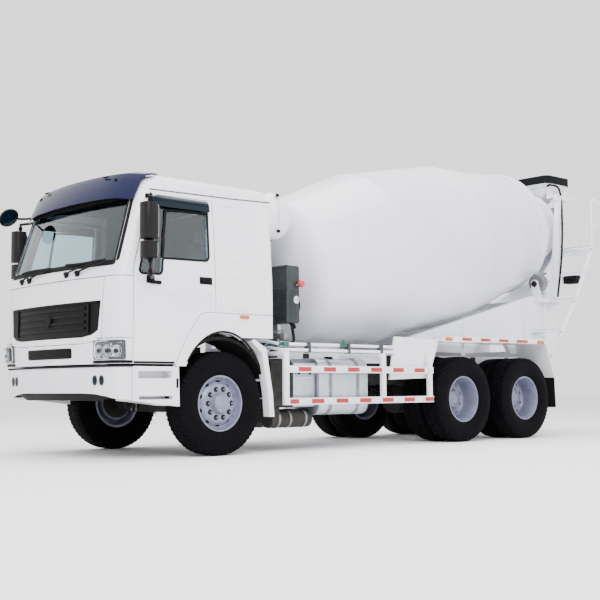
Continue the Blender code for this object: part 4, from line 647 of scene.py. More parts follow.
def makeDrum():
    cone = (1.163 - 0.925) / (1.260 - 0.010)
    rear = (0.905 - 1.163) / (4.475 - 2.900)
    outer = softCorners([(-0.330, 0.0), (-0.330, 0.172), (-0.300, 0.180), (-0.288, 0.330), (-0.230, 0.600),
                         (-0.150, 0.800), (-0.060, 0.900), (0.010, 0.925)], 0.09)
    def coneRadius(u):
        return 0.925 + cone * (u - 0.010)
    def rearRadius(u):
        return 1.163 + rear * (u - 2.900)
    body = [*weldBead(0.060, coneRadius(0.060), cone), (0.4, coneRadius(0.4)), (0.8, coneRadius(0.8)),
            (1.20, coneRadius(1.20)), (1.240, 1.1605), *weldBead(1.262, 1.163, 0.0), (1.32, 1.1635), (1.8, 1.1635),
            (2.3, 1.1635), (2.84, 1.1630), *weldBead(2.880, 1.1625, 0.0), (2.93, 1.156), (3.4, rearRadius(3.4)),
            *weldBead(3.88, rearRadius(3.88), rear), (4.30, rearRadius(4.30)), (4.465, rearRadius(4.465)),
            (4.600, 0.884), (4.640, 0.872), (5.220, 0.578), (5.300, 0.547), (5.370, 0.545), (5.378, 0.558),
            (5.385, 0.561), (5.415, 0.561), (5.420, 0.556), (5.420, 0.530)]
    inner = [(5.414, 0.524), (5.290, 0.520), (4.560, 0.850), (4.300, 0.900), (2.890, 1.135), (1.260, 1.135),
             (0.030, 0.895), (-0.030, 0.875), (-0.130, 0.770), (-0.200, 0.580), (-0.255, 0.300), (-0.265, 0.0)]
    profile = np.concatenate([outer, body, inner])
    shell = lathePart(profile, drumFoot, drumAxis, drumShape["segments"])
    drum = makePiece("drum_shell", [shell], "drumEnamel", "mixing_drum", 40)
    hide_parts("drum")
    ring = [(4.462, 0.895), (4.462, 0.932), (4.468, 0.940), (4.592, 0.940), (4.598, 0.932), (4.598, 0.870)]
    ring = lathePart(ring + [(4.53, 0.86)], drumFoot, drumAxis, drumShape["segments"], closed=True)
    makePiece("drum_running_ring", [ring], "drumEnamel", "mixing_drum", 35)
    # two mixing blades: a strip from the wall inwards, wound round the axis
    blades = []
    for start in (0.0, np.pi):
        u = np.linspace(3.6, 5.28, 120)
        turn = start + (u - 3.6) * 2 * np.pi / 1.35
        wall = np.interp(u, [2.89, 4.30, 4.56, 5.29], [1.130, 0.896, 0.846, 0.517])
        first, second = acrossAxes(drumAxis)
        spoke = np.cos(turn)[:, None] * first + np.sin(turn)[:, None] * second
        tip = wall - np.interp(u, [3.6, 4.8, 5.28], [0.34, 0.22, 0.05])
        rows = []
        for lift in (-0.003, 0.003):
            rows.append(np.stack([drumFoot + drumAxis * (u + lift)[:, None] + spoke * wall[:, None],
                                  drumFoot + drumAxis * (u + lift + 0.02)[:, None] + spoke * tip[:, None]], 1))
        blades.append(shellPart(rows[0], rows[1]))
    makePiece("drum_blades", blades, "wornSteel", "mixing_drum", 40)
    # flange bolts and a bolted inspection hatch
    bolts = boltRing(drumFoot - drumAxis * 0.331, -drumAxis, 16, 0.150, 0.011, 0.012)
    turn = math.radians(25.0)
    spoke = np.array([math.sin(turn), 0, 0]) + drumUp * math.cos(turn)
    centre = drumFoot + drumAxis * 2.05
    u = np.linspace(-1, 1, 17)
    v = np.linspace(-1, 1, 17)
    uu, vv = np.meshgrid(u, v, indexing="ij")
    round_ = np.sqrt(np.clip(1 - vv ** 2 / 2, 0, 1)) * uu, np.sqrt(np.clip(1 - uu ** 2 / 2, 0, 1)) * vv
    angle = -2.15 + round_[0] * 0.17
    hatch = []
    for radius in (1.176, 1.158):
        around = np.stack([np.sin(angle), np.zeros_like(angle), np.zeros_like(angle)], -1) + np.cos(angle)[..., None] * drumUp
        hatch.append(centre + drumAxis * (round_[1] * 0.26)[..., None] + around * radius)
    hatchPart = shellPart(hatch[0], hatch[1])
    makePiece("drum_inspection_hatch", [hatchPart], "drumEnamel", "mixing_drum", 30)
    for k in range(10):
        t = 2 * np.pi * k / 10
        a = -2.15 + 0.145 * np.cos(t)
        spot = centre + drumAxis * (0.225 * np.sin(t)) + (np.array([math.sin(a), 0, 0]) + drumUp * math.cos(a)) * 1.174
        bolts += [lathePart([(0, 0), (0, 0.013), (0.009, 0.013), (0.011, 0.010), (0.011, 0)], spot,
                            spot - centre - drumAxis * np.dot(spot - centre, drumAxis), 6)]
    makePiece("drum_bolts", bolts, "wornSteel", "mixing_drum", 30)


makeDrum()
print("drum made")

# ---- cab skin: plan outline bowed in front, rounded at the corners, read between levels
cabLevels = np.array([
    (0.540, 1.188, -1.435), (0.978, 1.192, -1.445), (1.250, 1.199, -1.458), (1.620, 1.200, -1.452),
    (1.870, 1.195, -1.430), (2.000, 1.188, -1.390), (2.400, 1.162, -1.268), (2.780, 1.128, -1.150),
    (2.880, 1.108, -1.085), (2.945, 1.070, -1.000), (2.985, 0.960, -0.860)])
cabBow, cabCorner = 0.078, 0.170


def cabPoint(k, z, offset=0.0):
    # k from 0 to 1 runs from the middle to the corner, to 2 round it, and past 2 back along the side in metres
    k, z = np.broadcast_arrays(np.asarray(k, float), np.asarray(z, float))
    def place(k, z):
        width = np.interp(z, cabLevels[:, 0], cabLevels[:, 1])
        front = np.interp(z, cabLevels[:, 0], cabLevels[:, 2])
        sign = np.sign(k) + (k == 0)
        k = np.abs(k)
        flat = width - cabCorner
        t = np.clip(k, 0, 1)
        turn = np.clip(k - 1, 0, 1) * np.pi / 2
        x = flat * t + cabCorner * np.sin(turn)
        y = front + cabBow * t ** 2 + cabCorner * (1 - np.cos(turn)) + np.clip(k - 2, 0, None)
        return np.stack([x * sign, y, z], -1)
    here = place(k, z)
    if not offset:
        return here
    alongK = place(k + 1e-4, z) - place(k - 1e-4, z)
    alongZ = place(k, z + 1e-3) - place(k, z - 1e-3)
    normal = np.cross(alongK, alongZ)
    normal /= np.linalg.norm(normal, axis=-1)[..., None]
    return here + normal * offset


def kAtX(x, z):
    width = np.interp(z, cabLevels[:, 0], cabLevels[:, 1])
    return x / (width - cabCorner)


def kAtSide(s, z):
    # the k of a place on the side, at s behind the front axle
    front = np.interp(z, cabLevels[:, 0], cabLevels[:, 2])
    return 2 + (s - (front + cabBow + cabCorner))


def skinPad(kLow, kHigh, zLow, zHigh, lift, crown=0.0, sink=0.006, corner=0.12, rows=15, cols=25):
    # a pad that hugs the cab's skin: corners rounded, lifted off the skin and crowned in the middle
    u, v = np.meshgrid(np.linspace(-1, 1, rows), np.linspace(-1, 1, cols), indexing="ij")
    uu, vv = u * (1 - corner * np.abs(v) ** 8), v * (1 - corner * np.abs(u) ** 8)
    k = (kLow + kHigh) / 2 + (kHigh - kLow) / 2 * vv
    low = zLow(k) if callable(zLow) else zLow
    high = zHigh(k) if callable(zHigh) else zHigh
    z = (low + high) / 2 + (high - low) / 2 * uu
    edge = (1 - np.abs(u) ** 6) * (1 - np.abs(v) ** 6)
    base = cabPoint(k, z, 1e-6)
    out = cabPoint(k, z, 1.0) - base
    front = base + out * (lift * np.clip(edge * 6, 0.35, 1) + crown * edge)[..., None]
    back = base - out * sink
    return shellPart(front, back)


def ovalOnSkin(x, z, halfWidth, halfHeight, steps, sides=28):
    # an oval button on the skin: rings of growing size, each with its own lift
    t = np.linspace(0, 2 * np.pi, sides, endpoint=False)
    rows = []
    for size, lift in steps:
        zz = z + halfHeight * size * np.sin(t)
        rows.append(cabPoint(kAtX(x + halfWidth * size * np.cos(t), zz), zz, lift + 1e-6))
    return gridPart(np.array(rows), wrapCols=True, capStart=True, capEnd=True)


def seamOnFront(points, radius=0.0045, depth=-0.003, count=40):
    # a dark bead laid in the gap along a line of (x, z) on the cab's front: painted shade in the panel gap
    line = np.asarray(points, float)
    where = np.linspace(0, len(line) - 1, count)
    x, z = np.interp(where, np.arange(len(line)), line[:, 0]), np.interp(where, np.arange(len(line)), line[:, 1])
    return tubePart(cabPoint(kAtX(x, z), z, depth), radius, 6)


# ---- cab front
def makeCabFront():
    # dark beads along the lid and headlamp panel gaps: painted shade in the gaps
    seams = [seamOnFront([(-1.02, 1.866), (1.02, 1.866)], count=60),
             seamOnFront([(-0.965, 1.866), (-0.965, 1.238), (-0.880, 1.210), (-0.640, 1.188), (0.640, 1.188),
                          (0.880, 1.210), (0.965, 1.238), (0.965, 1.866)], 0.0035, count=120)]
    for side in (1, -1):
        k = np.linspace(1.0, kAtSide(-1.170, 1.866), 20)
        seams.append(tubePart(cabPoint(side * k, np.full(20, 1.866), -0.003), 0.004, 6))
        k = np.linspace(0.86, kAtSide(-1.170, 1.240), 30)
        seams.append(tubePart(cabPoint(side * k, np.full(30, 1.238), -0.003), 0.0035, 6))
    makePiece("front_panel_gap_shade", seams, "softRubber", "cab", 60)
    # a black tube along the bumper's top edge: painted shade in the gap between bumper and cab
    gap = [tubePart(cabPoint(np.linspace(-2.2, 2.2, 90), np.full(90, 0.955), -0.010), 0.010, 8)]
    makePiece("bumper_top_gap_shade", gap, "softRubber", "chassis", 60)
    # fog lamps: two upright ovals each side, a silver rim round a dark glass
    rims, glasses = [], []
    for side in (1, -1):
        for x in (0.825, 0.930):
            rims.append(ovalOnSkin(side * x, 0.812, 0.036, 0.052, [(0.75, -0.030), (0.80, -0.011), (0.90, -0.006), (1.0, -0.008), (1.0, -0.018)]))
            glasses.append(ovalOnSkin(side * x, 0.812, 0.029, 0.044, [(1.0, -0.020), (1.0, -0.0085), (0.85, -0.0065), (0.4, -0.005)]))
    makePiece("fog_lamp_rims", rims, "trimPlastic", "chassis", 40)
    makePiece("fog_lamp_glasses", glasses, "smokedAcrylic", "chassis", 60)
    # black valance: a tray behind the bumper's lower edge, black as painted shade under the bumper, and a curtain under
    # it
    x = np.linspace(-1.13, 1.13, 61)
    lower = np.interp(np.abs(x), [0.0, 0.560, 0.800, 1.000, 1.130], [0.694, 0.694, 0.688, 0.662, 0.636])
    front = cabPoint(kAtX(x, 0.7), np.full(61, 0.7), -0.085)
    rows = [np.stack([front[:, 0], front[:, 1], lower + 0.04], -1), np.stack([front[:, 0], front[:, 1], lower], -1)]
    hang = np.clip((1.02 - np.abs(x)) / 0.25, 0, 1)
    rows.append(np.stack([front[:, 0] * 0.99, front[:, 1] + 0.03, lower - 0.088 * hang], -1))
    rows.append(np.stack([front[:, 0] * 0.98, front[:, 1] + 0.06, lower - 0.090 * hang], -1))
    rows.append(np.stack([front[:, 0] * 0.97, np.maximum(front[:, 1] + 0.16, -1.22), lower], -1))
    grid = np.array(rows)
    makePiece("bumper_valance_and_shade_tray", [shellPart(grid, grid + (0, 0.004, 0.004))], "blackPlastic", "chassis", 50)
    # kerb mirror on its arm at the far front corner
    centre, aim = np.array((-1.079, -1.375, 2.711)), unit((0.62, 0.10, -0.50))
    shape = [(-0.062, 0.0), (-0.060, 0.030), (-0.050, 0.070), (-0.030, 0.102), (-0.006, 0.118), (0.006, 0.121),
             (0.012, 0.118), (0.010, 0.110)]
    makePiece("kerb_mirror_shell", [lathePart(shape + [(0.006, 0.0)], centre, aim, 40)], "mirrorPlastic", "cab", 50)
    makePiece("kerb_mirror_glass", [lathePart([(0.006, 0.0), (0.006, 0.109), (0.011, 0.107), (0.020, 0.060), (0.024, 0.0)],
                                              centre, aim, 40)], "smokedAcrylic", "cab", 50)
    arm = [hosePart([(-1.115, -1.010, 2.760), (-1.160, -1.090, 2.735), (-1.185, -1.235, 2.728), centre - aim * 0.05], 0.013, 24, 10),
           blockPart((-1.150, -1.040, 2.720), (-1.100, -0.985, 2.790), 0.01)]
    makePiece("kerb_mirror_arm", arm, "blackPlastic", "cab", 40)
    # headlamps: reflector bowl, projector rings and a clear crowned lens
    for side in (1, -1):
        label = "left" if side > 0 else "right"
        lowZ, highZ = 1.028, 1.208
        k0, k1 = 0.835, 1.80
        pads = skinPad(side * k0, side * k1, lowZ, highZ, 0.004, 0.002, 0.004, 0.05)
        makePiece("headlamp_bezel_" + label, [pads], "trimPlastic", "cab", 40)
        rings, bulbs = [], []
        for k, radius in ((0.905, 0.060), (1.12, 0.060), (1.47, 0.055)):
            centre = cabPoint(side * k, 1.120 - 0.010 * k, 0.006)
            out = unit(cabPoint(side * k, 1.115, 1.0) - cabPoint(side * k, 1.115, 1e-6))
            rings.append(lathePart([(-0.004, 0.0), (-0.004, radius), (0.006, radius + 0.006), (0.010, radius),
                                    (0.004, radius * 0.75), (0.001, radius * 0.35), (0.010, radius * 0.2), (0.012, 0.0)],
                                   centre, out, 28))
            bulbs.append(lathePart([(0.002, 0.0), (0.002, radius * 0.42), (0.011, radius * 0.34), (0.0135, 0.0)],
                                   centre, out, 24))
        for k, z in ((1.00, 1.060), (1.30, 1.165), (1.30, 1.065)):
            rings.append(skinPad(side * (k - 0.05), side * (k + 0.05), z - 0.022, z + 0.022, 0.007, 0.003, 0.002, 0.2, 7, 9))
        makePiece("headlamp_bowls_" + label, rings, "reflector", "cab", 50)
        makePiece("headlamp_bulbs_" + label, bulbs, "softRubber", "cab", 50)
        lens = skinPad(side * k0, side * k1, lowZ - 0.002, highZ + 0.002, 0.022, 0.012, -0.017, 0.06)
        makePiece("headlamp_lens_" + label, [lens], "lampGlass", "cab", 50)
        frameBars = [skinPad(side * (k0 - 0.012), side * (k0 + 0.004), lowZ - 0.006, highZ + 0.006, 0.016),
                     skinPad(side * (k1 - 0.01), side * (k1 + 0.02), lowZ - 0.004, highZ + 0.004, 0.016),
                     skinPad(side * k0, side * k1, highZ, highZ + 0.006, 0.016, corner=0.0),
                     skinPad(side * k0, side * k1, lowZ - 0.007, lowZ, 0.016, corner=0.0)]
        makePiece("headlamp_frame_" + label, frameBars, "trimPlastic", "cab", 50)
        # a black strip in the gap under the headlamp panel: painted shade in the gap
        strip = skinPad(side * 0.80, side * 2.03, 0.982, 1.012, 0.005, 0.0, 0.004, 0.02, 7, 30)
        makePiece("headlamp_gap_shade_" + label, [strip], "blackPlastic", "cab", 40)
    # lower intake
    intake = [skinPad(-0.45, 0.45, 1.040, 1.150, 0.003, 0.0, 0.004, 0.03, 9, 25)]
    for z in (1.058, 1.085, 1.112, 1.136):
        intake.append(skinPad(-0.44, 0.44, z - 0.006, z + 0.006, 0.010, 0.0, 0.002, 0.01, 5, 25))
    makePiece("lower_intake", intake, "blackPlastic", "cab", 40)
    # grille bars
    bars = []
    for z in (1.345, 1.415, 1.485, 1.555):
        reach = 0.66
        bars.append(skinPad(-reach, reach, z - 0.016, z + 0.016, -0.002, 0.006, 0.014, 0.02, 9, 41))
    for k in (-0.72, 0.72):
        bars.append(skinPad(k - 0.012, k + 0.012, 1.300, 1.600, 0.001, 0.003, 0.014, 0.05, 15, 5))
    bars.append(skinPad(-0.86, 0.86, 1.600, 1.618, 0.002, 0.0, 0.014, 0.01, 5, 41))
    makePiece("grille_bars", bars, "blackPlastic", "lid", 50)
    badge = lathePart([(0.0, 0.0), (0.0, 0.070), (0.008, 0.066), (0.010, 0.056), (0.006, 0.050), (0.006, 0.0)],
                      cabPoint(0.0, 1.45, 0.004), (0, -1, 0), 40)
    makePiece("grille_round_boss", [badge], "blackPlastic", "lid", 30)
    # windscreen surround and the black band under it
    band = []
    band.append(skinPad(-1.22, 1.22, 1.985, 2.035, -0.010, 0.0, 0.0, 0.02, 5, 61))
    band.append(skinPad(-1.08, 1.08, 2.685, 2.745, -0.010, 0.0, 0.0, 0.02, 5, 61))
    for side in (1, -1):
        band.append(skinPad(side * 1.08, side * 1.36, 2.02, 2.72, -0.010, 0.0, 0.0, 0.05, 25, 5))
    makePiece("windscreen_black_band", band, "softRubber", "cab", 50)
    seal = []
    for z, reach in ((1.985, 1.10), (2.748, 0.99)):
        k = np.linspace(-reach, reach, 60)
        seal.append(tubePart(cabPoint(k, np.full(60, z), 0.001), 0.007, 8))
    makePiece("windscreen_seal", seal, "softRubber", "cab", 50)
    # wipers: arm from a spindle, blade lying along the foot of the glass
    wiper = []
    for x0, x1 in ((-0.80, -0.10), (0.22, 0.92)):
        for pivotX, tipX in ((x0 + 0.08, x0 + 0.62), (x0 + 0.28, x0 + 0.80)):
            xs = np.linspace(pivotX, tipX, 14)
            zs = np.linspace(1.925, 2.018, 14) + 0.010 * np.sin(np.linspace(0, np.pi, 14))
            arm = cabPoint(kAtX(xs, zs), zs, 0.030)
            wiper.append(tubePart(arm, np.linspace(0.011, 0.006, 14), 8))
        xs = np.linspace(x0 + 0.02, x1, 30)
        zs = 2.030 + 0.004 * np.sin(xs * 9)
        wiper.append(tubePart(cabPoint(kAtX(xs, zs), zs, 0.014), 0.008, 8, 1.6))
        for x in (x0 + 0.08, x0 + 0.28):
            centre = cabPoint(kAtX(x, 1.925), 1.925, 0.0)
            wiper.append(lathePart([(0, 0), (0, 0.026), (0.028, 0.024), (0.040, 0.016), (0.044, 0)], centre, (0, -0.8, 0.6), 20))
            wiper.append(blockPart((x - 0.035, centre[1] - 0.016, 1.895), (x + 0.035, centre[1] + 0.01, 1.950), 0.008))
    makePiece("wipers", wiper, "softRubber", "cab", 40)
    # visor: mounting struts and moulded pads, no lettering
    struts = []
    for x in (-0.78, -0.26, 0.26, 0.78):
        struts.append(blockPart((x - 0.02, -1.13, 2.875), (x + 0.02, -1.04, 2.925), 0.006))
    makePiece("visor_struts", struts, "blackPlastic", "cab", 40)
    grip = []
    for x in (-0.62, 0.62):
        grip.append(blockPart((x - 0.045, -1.148, 2.955), (x + 0.045, -1.125, 2.967), 0.004))
    makePiece("visor_marker_bases", grip, "blackPlastic", "cab", 40)


makeCabFront()
print("cab front made")


# ---- cab sides, doors and mirrors
def sideX(z, offset=0.0):
    return np.interp(z, cabLevels[:, 0], cabLevels[:, 1]) + offset


def ribbonOnSide(points, width, lift=0.003, close=False):
    # a strip of that width following a line of (s, z) on the cab's side
    line = np.asarray(points, float)
    if close:
        line = np.vstack([line, line[:1]])
    along = np.gradient(line, axis=0)
    along /= np.linalg.norm(along, axis=1)[:, None]
    square = np.stack([-along[:, 1], along[:, 0]], -1)
    grid = []
    for side in (-0.5, 0.5):
        spot = line + square * width * side
        grid.append(np.stack([sideX(spot[:, 1], lift), spot[:, 0], spot[:, 1]], -1))
    front = np.stack(grid, 1)
    back = front - (lift + 0.004, 0, 0)
    return shellPart(front, back)


def sideTube(points, radius, depth, count=24):
    # a bead along a line of (s, z) on the cab's side
    line = np.asarray(points, float)
    length = np.concatenate([[0], np.cumsum(np.linalg.norm(np.diff(line, axis=0), axis=1))])
    where = np.linspace(0, length[-1], count)
    s, z = np.interp(where, length, line[:, 0]), np.interp(where, length, line[:, 1])
    return tubePart(np.stack([sideX(z, depth), s, z], -1), radius, 6)


def makeCabSide(side):
    label = "left" if side > 0 else "right"
    door = label + "_door"
    def put(parts):
        return parts if side > 0 else [flipPart(part) for part in parts]
    # rubber round the door window, quarter divider and rain deflector
    window = [(-1.092, 1.925), (-1.067, 1.898), (-0.838, 1.903), (-0.812, 1.930), (-0.798, 2.073), (-0.230, 2.083),
              (-0.198, 2.115), (-0.193, 2.660), (-0.225, 2.692), (-0.880, 2.692), (-0.910, 2.665)]
    seals = [ribbonOnSide(softCorners(np.vstack([window, window[:2]]), 0.03), 0.024, 0.004)]
    seals.append(ribbonOnSide(np.array([(-0.795, 2.07), (-0.775, 2.30), (-0.735, 2.60)]), 0.030, -0.006))
    seals.append(ribbonOnSide(np.array([(-0.745, 2.585), (-0.50, 2.600), (-0.20, 2.600)]), 0.024, -0.006))
    makePiece("door_window_rubber_" + label, put(seals), "softRubber", door, 40)
    s = np.linspace(-0.905, -0.185, 20)
    rows = []
    for z, out in ((2.735, 0.004), (2.715, 0.022), (2.680, 0.034), (2.630, 0.038), (2.615, 0.036)):
        rows.append(np.stack([sideX(np.full(20, z), out) - 0.02 * np.clip((-0.84 - s) / 0.065, 0, 1), s,
                              np.full(20, z)], -1))
    front = np.array(rows)
    deflector = shellPart(front, front - (0.004, 0, 0))
    makePiece("rain_deflector_" + label, put([deflector]), "smokedAcrylic", door, 40)
    # handle in its cup, lock and swage line
    cup = ribbonOnSide(np.array([(-0.330, 1.868), (-0.25, 1.868), (-0.165, 1.868)]), 0.078, 0.004)
    bar = platePart(roundedOutline((-0.318, 1.850), (-0.180, 1.892), 0.012), "x", sideX(1.87, 0.004), sideX(1.87, 0.030), 0.008)
    makePiece("door_handle_" + label, put([cup, bar]), "blackPlastic", door, 40)
    lock = lathePart([(0, 0), (0, 0.012), (0.004, 0.011), (0.005, 0)], (sideX(1.74), -0.215, 1.735), (1, 0, 0), 16)
    makePiece("door_lock_" + label, put([lock]), "polishedRod", door, 40)
    swage = [sideTube([(-1.155, 1.700), (-0.130, 1.700)], 0.005, 0.0), sideTube([(-1.155, 1.205), (-0.560, 1.205)], 0.004, 0.0)]
    makePiece("door_swage_" + label, put(swage), "whiteEnamel", door, 40)
    # dark beads in the gaps round the door and over the wheel arch: painted shade in the gaps, black like the door's
    # rubber seal behind them
    outline = [(-1.1675, 0.985), (-1.1675, 1.900), (-1.150, 2.002), (-0.932, 2.738), (-0.1175, 2.748), (-0.1175, 1.5325)]
    gaps = [sideTube(outline, 0.0045, -0.003, 90),
            sideTube([(-0.1175, 1.5325), (-0.270, 1.5325), (-0.330, 1.498), (-0.400, 1.408), (-0.480, 1.288),
                      (-0.565, 1.138), (-0.638, 0.985)], 0.0045, -0.003, 60),
            sideTube([(-0.1175, 1.5325), (0.725, 1.5325)], 0.0045, -0.003, 20)]
    makePiece("door_gap_seal_and_shade_" + label, put(gaps), "softRubber", "cab", 60)
    sill = ribbonOnSide(np.array([(-1.155, 0.992), (-0.9, 0.992), (-0.655, 0.992)]), 0.022, 0.005)
    makePiece("door_sill_rubber_" + label, put([sill]), "softRubber", door, 40)
    gutterS = np.linspace(-0.93, 0.72, 30)
    gutterZ = np.interp(gutterS, [-0.93, 0.16, 0.73], [2.790, 2.808, 2.828])
    gutter = tubePart(np.stack([sideX(gutterZ, 0.001), gutterS, gutterZ], -1), 0.007, 8)
    makePiece("roof_gutter_" + label, put([gutter]), "trimPlastic", "cab", 40)
    # pressed frames of the sleeper panels
    frames = []
    for box in (((-0.050, 2.110), (0.310, 2.720)), ((-0.050, 1.590), (0.335, 1.930))):
        outline = roundedOutline(box[0], box[1], 0.035, 5)
        ring = np.vstack([outline, outline[:1]])
        path = np.stack([sideX(ring[:, 1], 0.000), ring[:, 0], ring[:, 1]], -1)
        frames.append(tubePart(path, 0.009, 8))
    makePiece("sleeper_pressings_" + label, put(frames), "whiteEnamel", "cab", 40)
    lampBase = platePart(roundedOutline((0.196, 1.470), (0.346, 1.528), 0.022), "x", sideX(1.5, -0.002), sideX(1.5, 0.006), 0.003)
    lamp = platePart(roundedOutline((0.206, 1.478), (0.336, 1.520), 0.018), "x", sideX(1.5, 0.004), sideX(1.5, 0.026), 0.010)
    makePiece("side_lamp_" + label, put([lamp]), "amberLens", "cab", 40)
    makePiece("side_lamp_base_" + label, put([lampBase]), "whiteEnamel", "cab", 40)
    # wheel arch lip
    t = np.linspace(math.radians(8), math.radians(172), 50)
    arch = np.stack([-0.005 + 0.592 * np.cos(t), axleZ + 0.771 * np.sin(t)], -1)
    keep = arch[:, 1] > 0.99
    arch = arch[keep]
    lip = tubePart(np.stack([sideX(arch[:, 1], -0.004), arch[:, 0], arch[:, 1]], -1), 0.011, 8)
    makePiece("arch_lip_" + label, put([lip]), "softRubber", "cab", 40)
    # mirrors: rear-facing glass, clamps and base plates
    glass = [platePart(roundedOutline((1.290, 2.250), (1.430, 2.580), 0.030), "y", -1.024, -1.0195, 0.002),
             platePart(roundedOutline((1.295, 2.052), (1.425, 2.190), 0.028), "y", -1.029, -1.0245, 0.002)]
    makePiece("mirror_glass_" + label, put(glass), "mirrorGlass", door, 30)
    clamps = [lathePart([(-0.02, 0.016), (-0.02, 0.024), (0.02, 0.024), (0.02, 0.016)], (1.360, -1.075, z), (0, 0, 1), 16, True)
              for z in (1.90, 2.015, 2.218, 2.64)]
    base = [platePart(roundedOutline((-1.010, 1.800), (-0.915, 1.885), 0.02), "x", sideX(1.84, -0.002), sideX(1.84, 0.016), 0.005),
            platePart(roundedOutline((-0.960, 1.795), (-0.835, 1.832), 0.012), "x", sideX(1.81, -0.002), sideX(1.81, 0.026), 0.006),
            platePart(roundedOutline((-0.990, 2.690), (-0.925, 2.738), 0.012), "x", sideX(2.71, -0.002), sideX(2.71, 0.016), 0.004)]
    makePiece("mirror_clamps_" + label, put(clamps + base), "blackPlastic", door, 40)
    # step wells of the wing: ribbed treads and latch
    wing = []
    for s in np.linspace(-1.06, -0.72, 12):
        wing.append(blockPart((1.075, s - 0.008, 0.830), (1.188, s + 0.008, 0.838), 0.002))
        wing.append(blockPart((1.075, s - 0.008, 0.615), (1.188, s + 0.008, 0.6215), 0.002))
    makePiece("step_treads_" + label, put(wing), "aluminium", "chassis", 40)
    latch = platePart(roundedOutline((-0.632, 0.730), (-0.606, 0.830), 0.008), "x", 1.190, 1.2035, 0.004)
    makePiece("step_latch_" + label, put([latch]), "blackPlastic", "chassis", 40)


    # black arch liner wrapped round the wing's band, and the wheel house under the cab, both black also as painted
    # shade inside the arch
    t = np.linspace(math.radians(4.5), math.radians(175.5), 60)
    def archSheet(offset, x0, x1, thick, low=0.62):
        rows = []
        for x in np.linspace(x0, x1, 6):
            rows.append(np.stack([np.full(60, x), (0.655 + offset) * np.cos(t), axleZ + (0.690 + offset) * np.sin(t)], -1))
        grid = np.array(rows)
        towards = grid - (0, 0, axleZ)
        towards[..., 0] = 0
        towards /= np.linalg.norm(towards, axis=-1)[..., None]
        return shellPart(grid, grid + towards * thick)
    liner = [archSheet(-0.005, 0.690, 1.134, 0.004), archSheet(0.0265, 0.790, 1.134, 0.004)]
    edge = [np.stack([np.full(60, 1.1315), (0.655 + o) * np.cos(t), axleZ + (0.690 + o) * np.sin(t)], -1) for o in (-0.005, 0.030)]
    edge = np.array(edge)
    liner.append(shellPart(edge, edge + (0.003, 0, 0)))
    makePiece("arch_liner_and_shade_" + label, put(liner), "softRubber", "chassis", 50)
    t = np.linspace(math.radians(35), math.radians(145), 60)
    house = []
    for x in (0.700, 0.85, 1.0, 1.130):
        house.append(np.stack([np.full(60, x), 0.602 * np.cos(t), axleZ + 0.782 * np.sin(t)], -1))
    house = np.array(house)
    back = house.copy()
    back[..., 2] += 0.004
    makePiece("wheel_house_shade_" + label, put([shellPart(house, back)]), "softRubber", "cab", 50)
    # lining of the door and of the sleeper's side
    inner = []
    for box in ((-1.110, -0.160, 1.420, 1.880), (-0.185, -0.130, 1.880, 2.720), (-0.900, -0.130, 2.700, 2.735)):
        s0, s1, z0, z1 = box
        corners = np.array([[(sideX(z, -0.062), sPlace, z) for z in np.linspace(z0, z1, 8)] for sPlace in np.linspace(s0, s1, 4)])
        inner.append(shellPart(corners, corners - (0.010, 0, 0)))
    makePiece("door_lining_" + label, put(inner), "cabLining", door, 50)
    zs = np.linspace(1.42, 2.84, 12)
    grid = np.array([[(sideX(z, -0.062), sPlace, z) for z in zs] for sPlace in np.linspace(-0.060, 0.650, 6)])
    makePiece("sleeper_lining_" + label, put([shellPart(grid, grid - (0.010, 0, 0))]), "cabLining", "cab", 50)
    pillar = np.array([[(sideX(z, -0.064) - 0.02 * q, np.interp(z, [2.0, 2.745], [-1.285, -1.060]) + 0.10 + 0.075 * q, z)
                        for z in np.linspace(1.99, 2.74, 8)] for q in np.linspace(0, 1, 4)])
    makePiece("pillar_trim_" + label, put([shellPart(pillar, pillar - (0.008, 0, 0))]), "cabLining", "cab", 50)


for side in (1, -1):
    makeCabSide(side)
print("cab sides made")


# ---- interior: padded seats in the room of their plain solids
def cushion(low, high, crown, seams):
    # a pillow: two crowned sheets that meet in a soft edge, pressed down along the seams
    u, v = np.meshgrid(np.linspace(-1, 1, 41), np.linspace(-1, 1, 41), indexing="ij")
    uu, vv = u * np.sqrt(1 - 0.10 * v ** 6), v * np.sqrt(1 - 0.10 * u ** 6)
    edge = ((1 - u ** 8) * (1 - v ** 8)) ** 0.35
    groove = sum(np.exp(-((v - seam) / 0.05) ** 2) for seam in seams)
    middle, half = (np.add(low, high)) / 2, np.subtract(high, low) / 2
    x, y = middle[0] + uu * half[0], middle[1] + vv * half[1]
    top = middle[2] + (half[2] - crown) * edge + crown * edge * (1 - 0.5 * u ** 2 - 0.5 * v ** 2) - 0.012 * groove * edge
    bottom = middle[2] - half[2] * edge
    return shellPart(np.stack([x, y, top], -1), np.stack([x, y, bottom], -1))


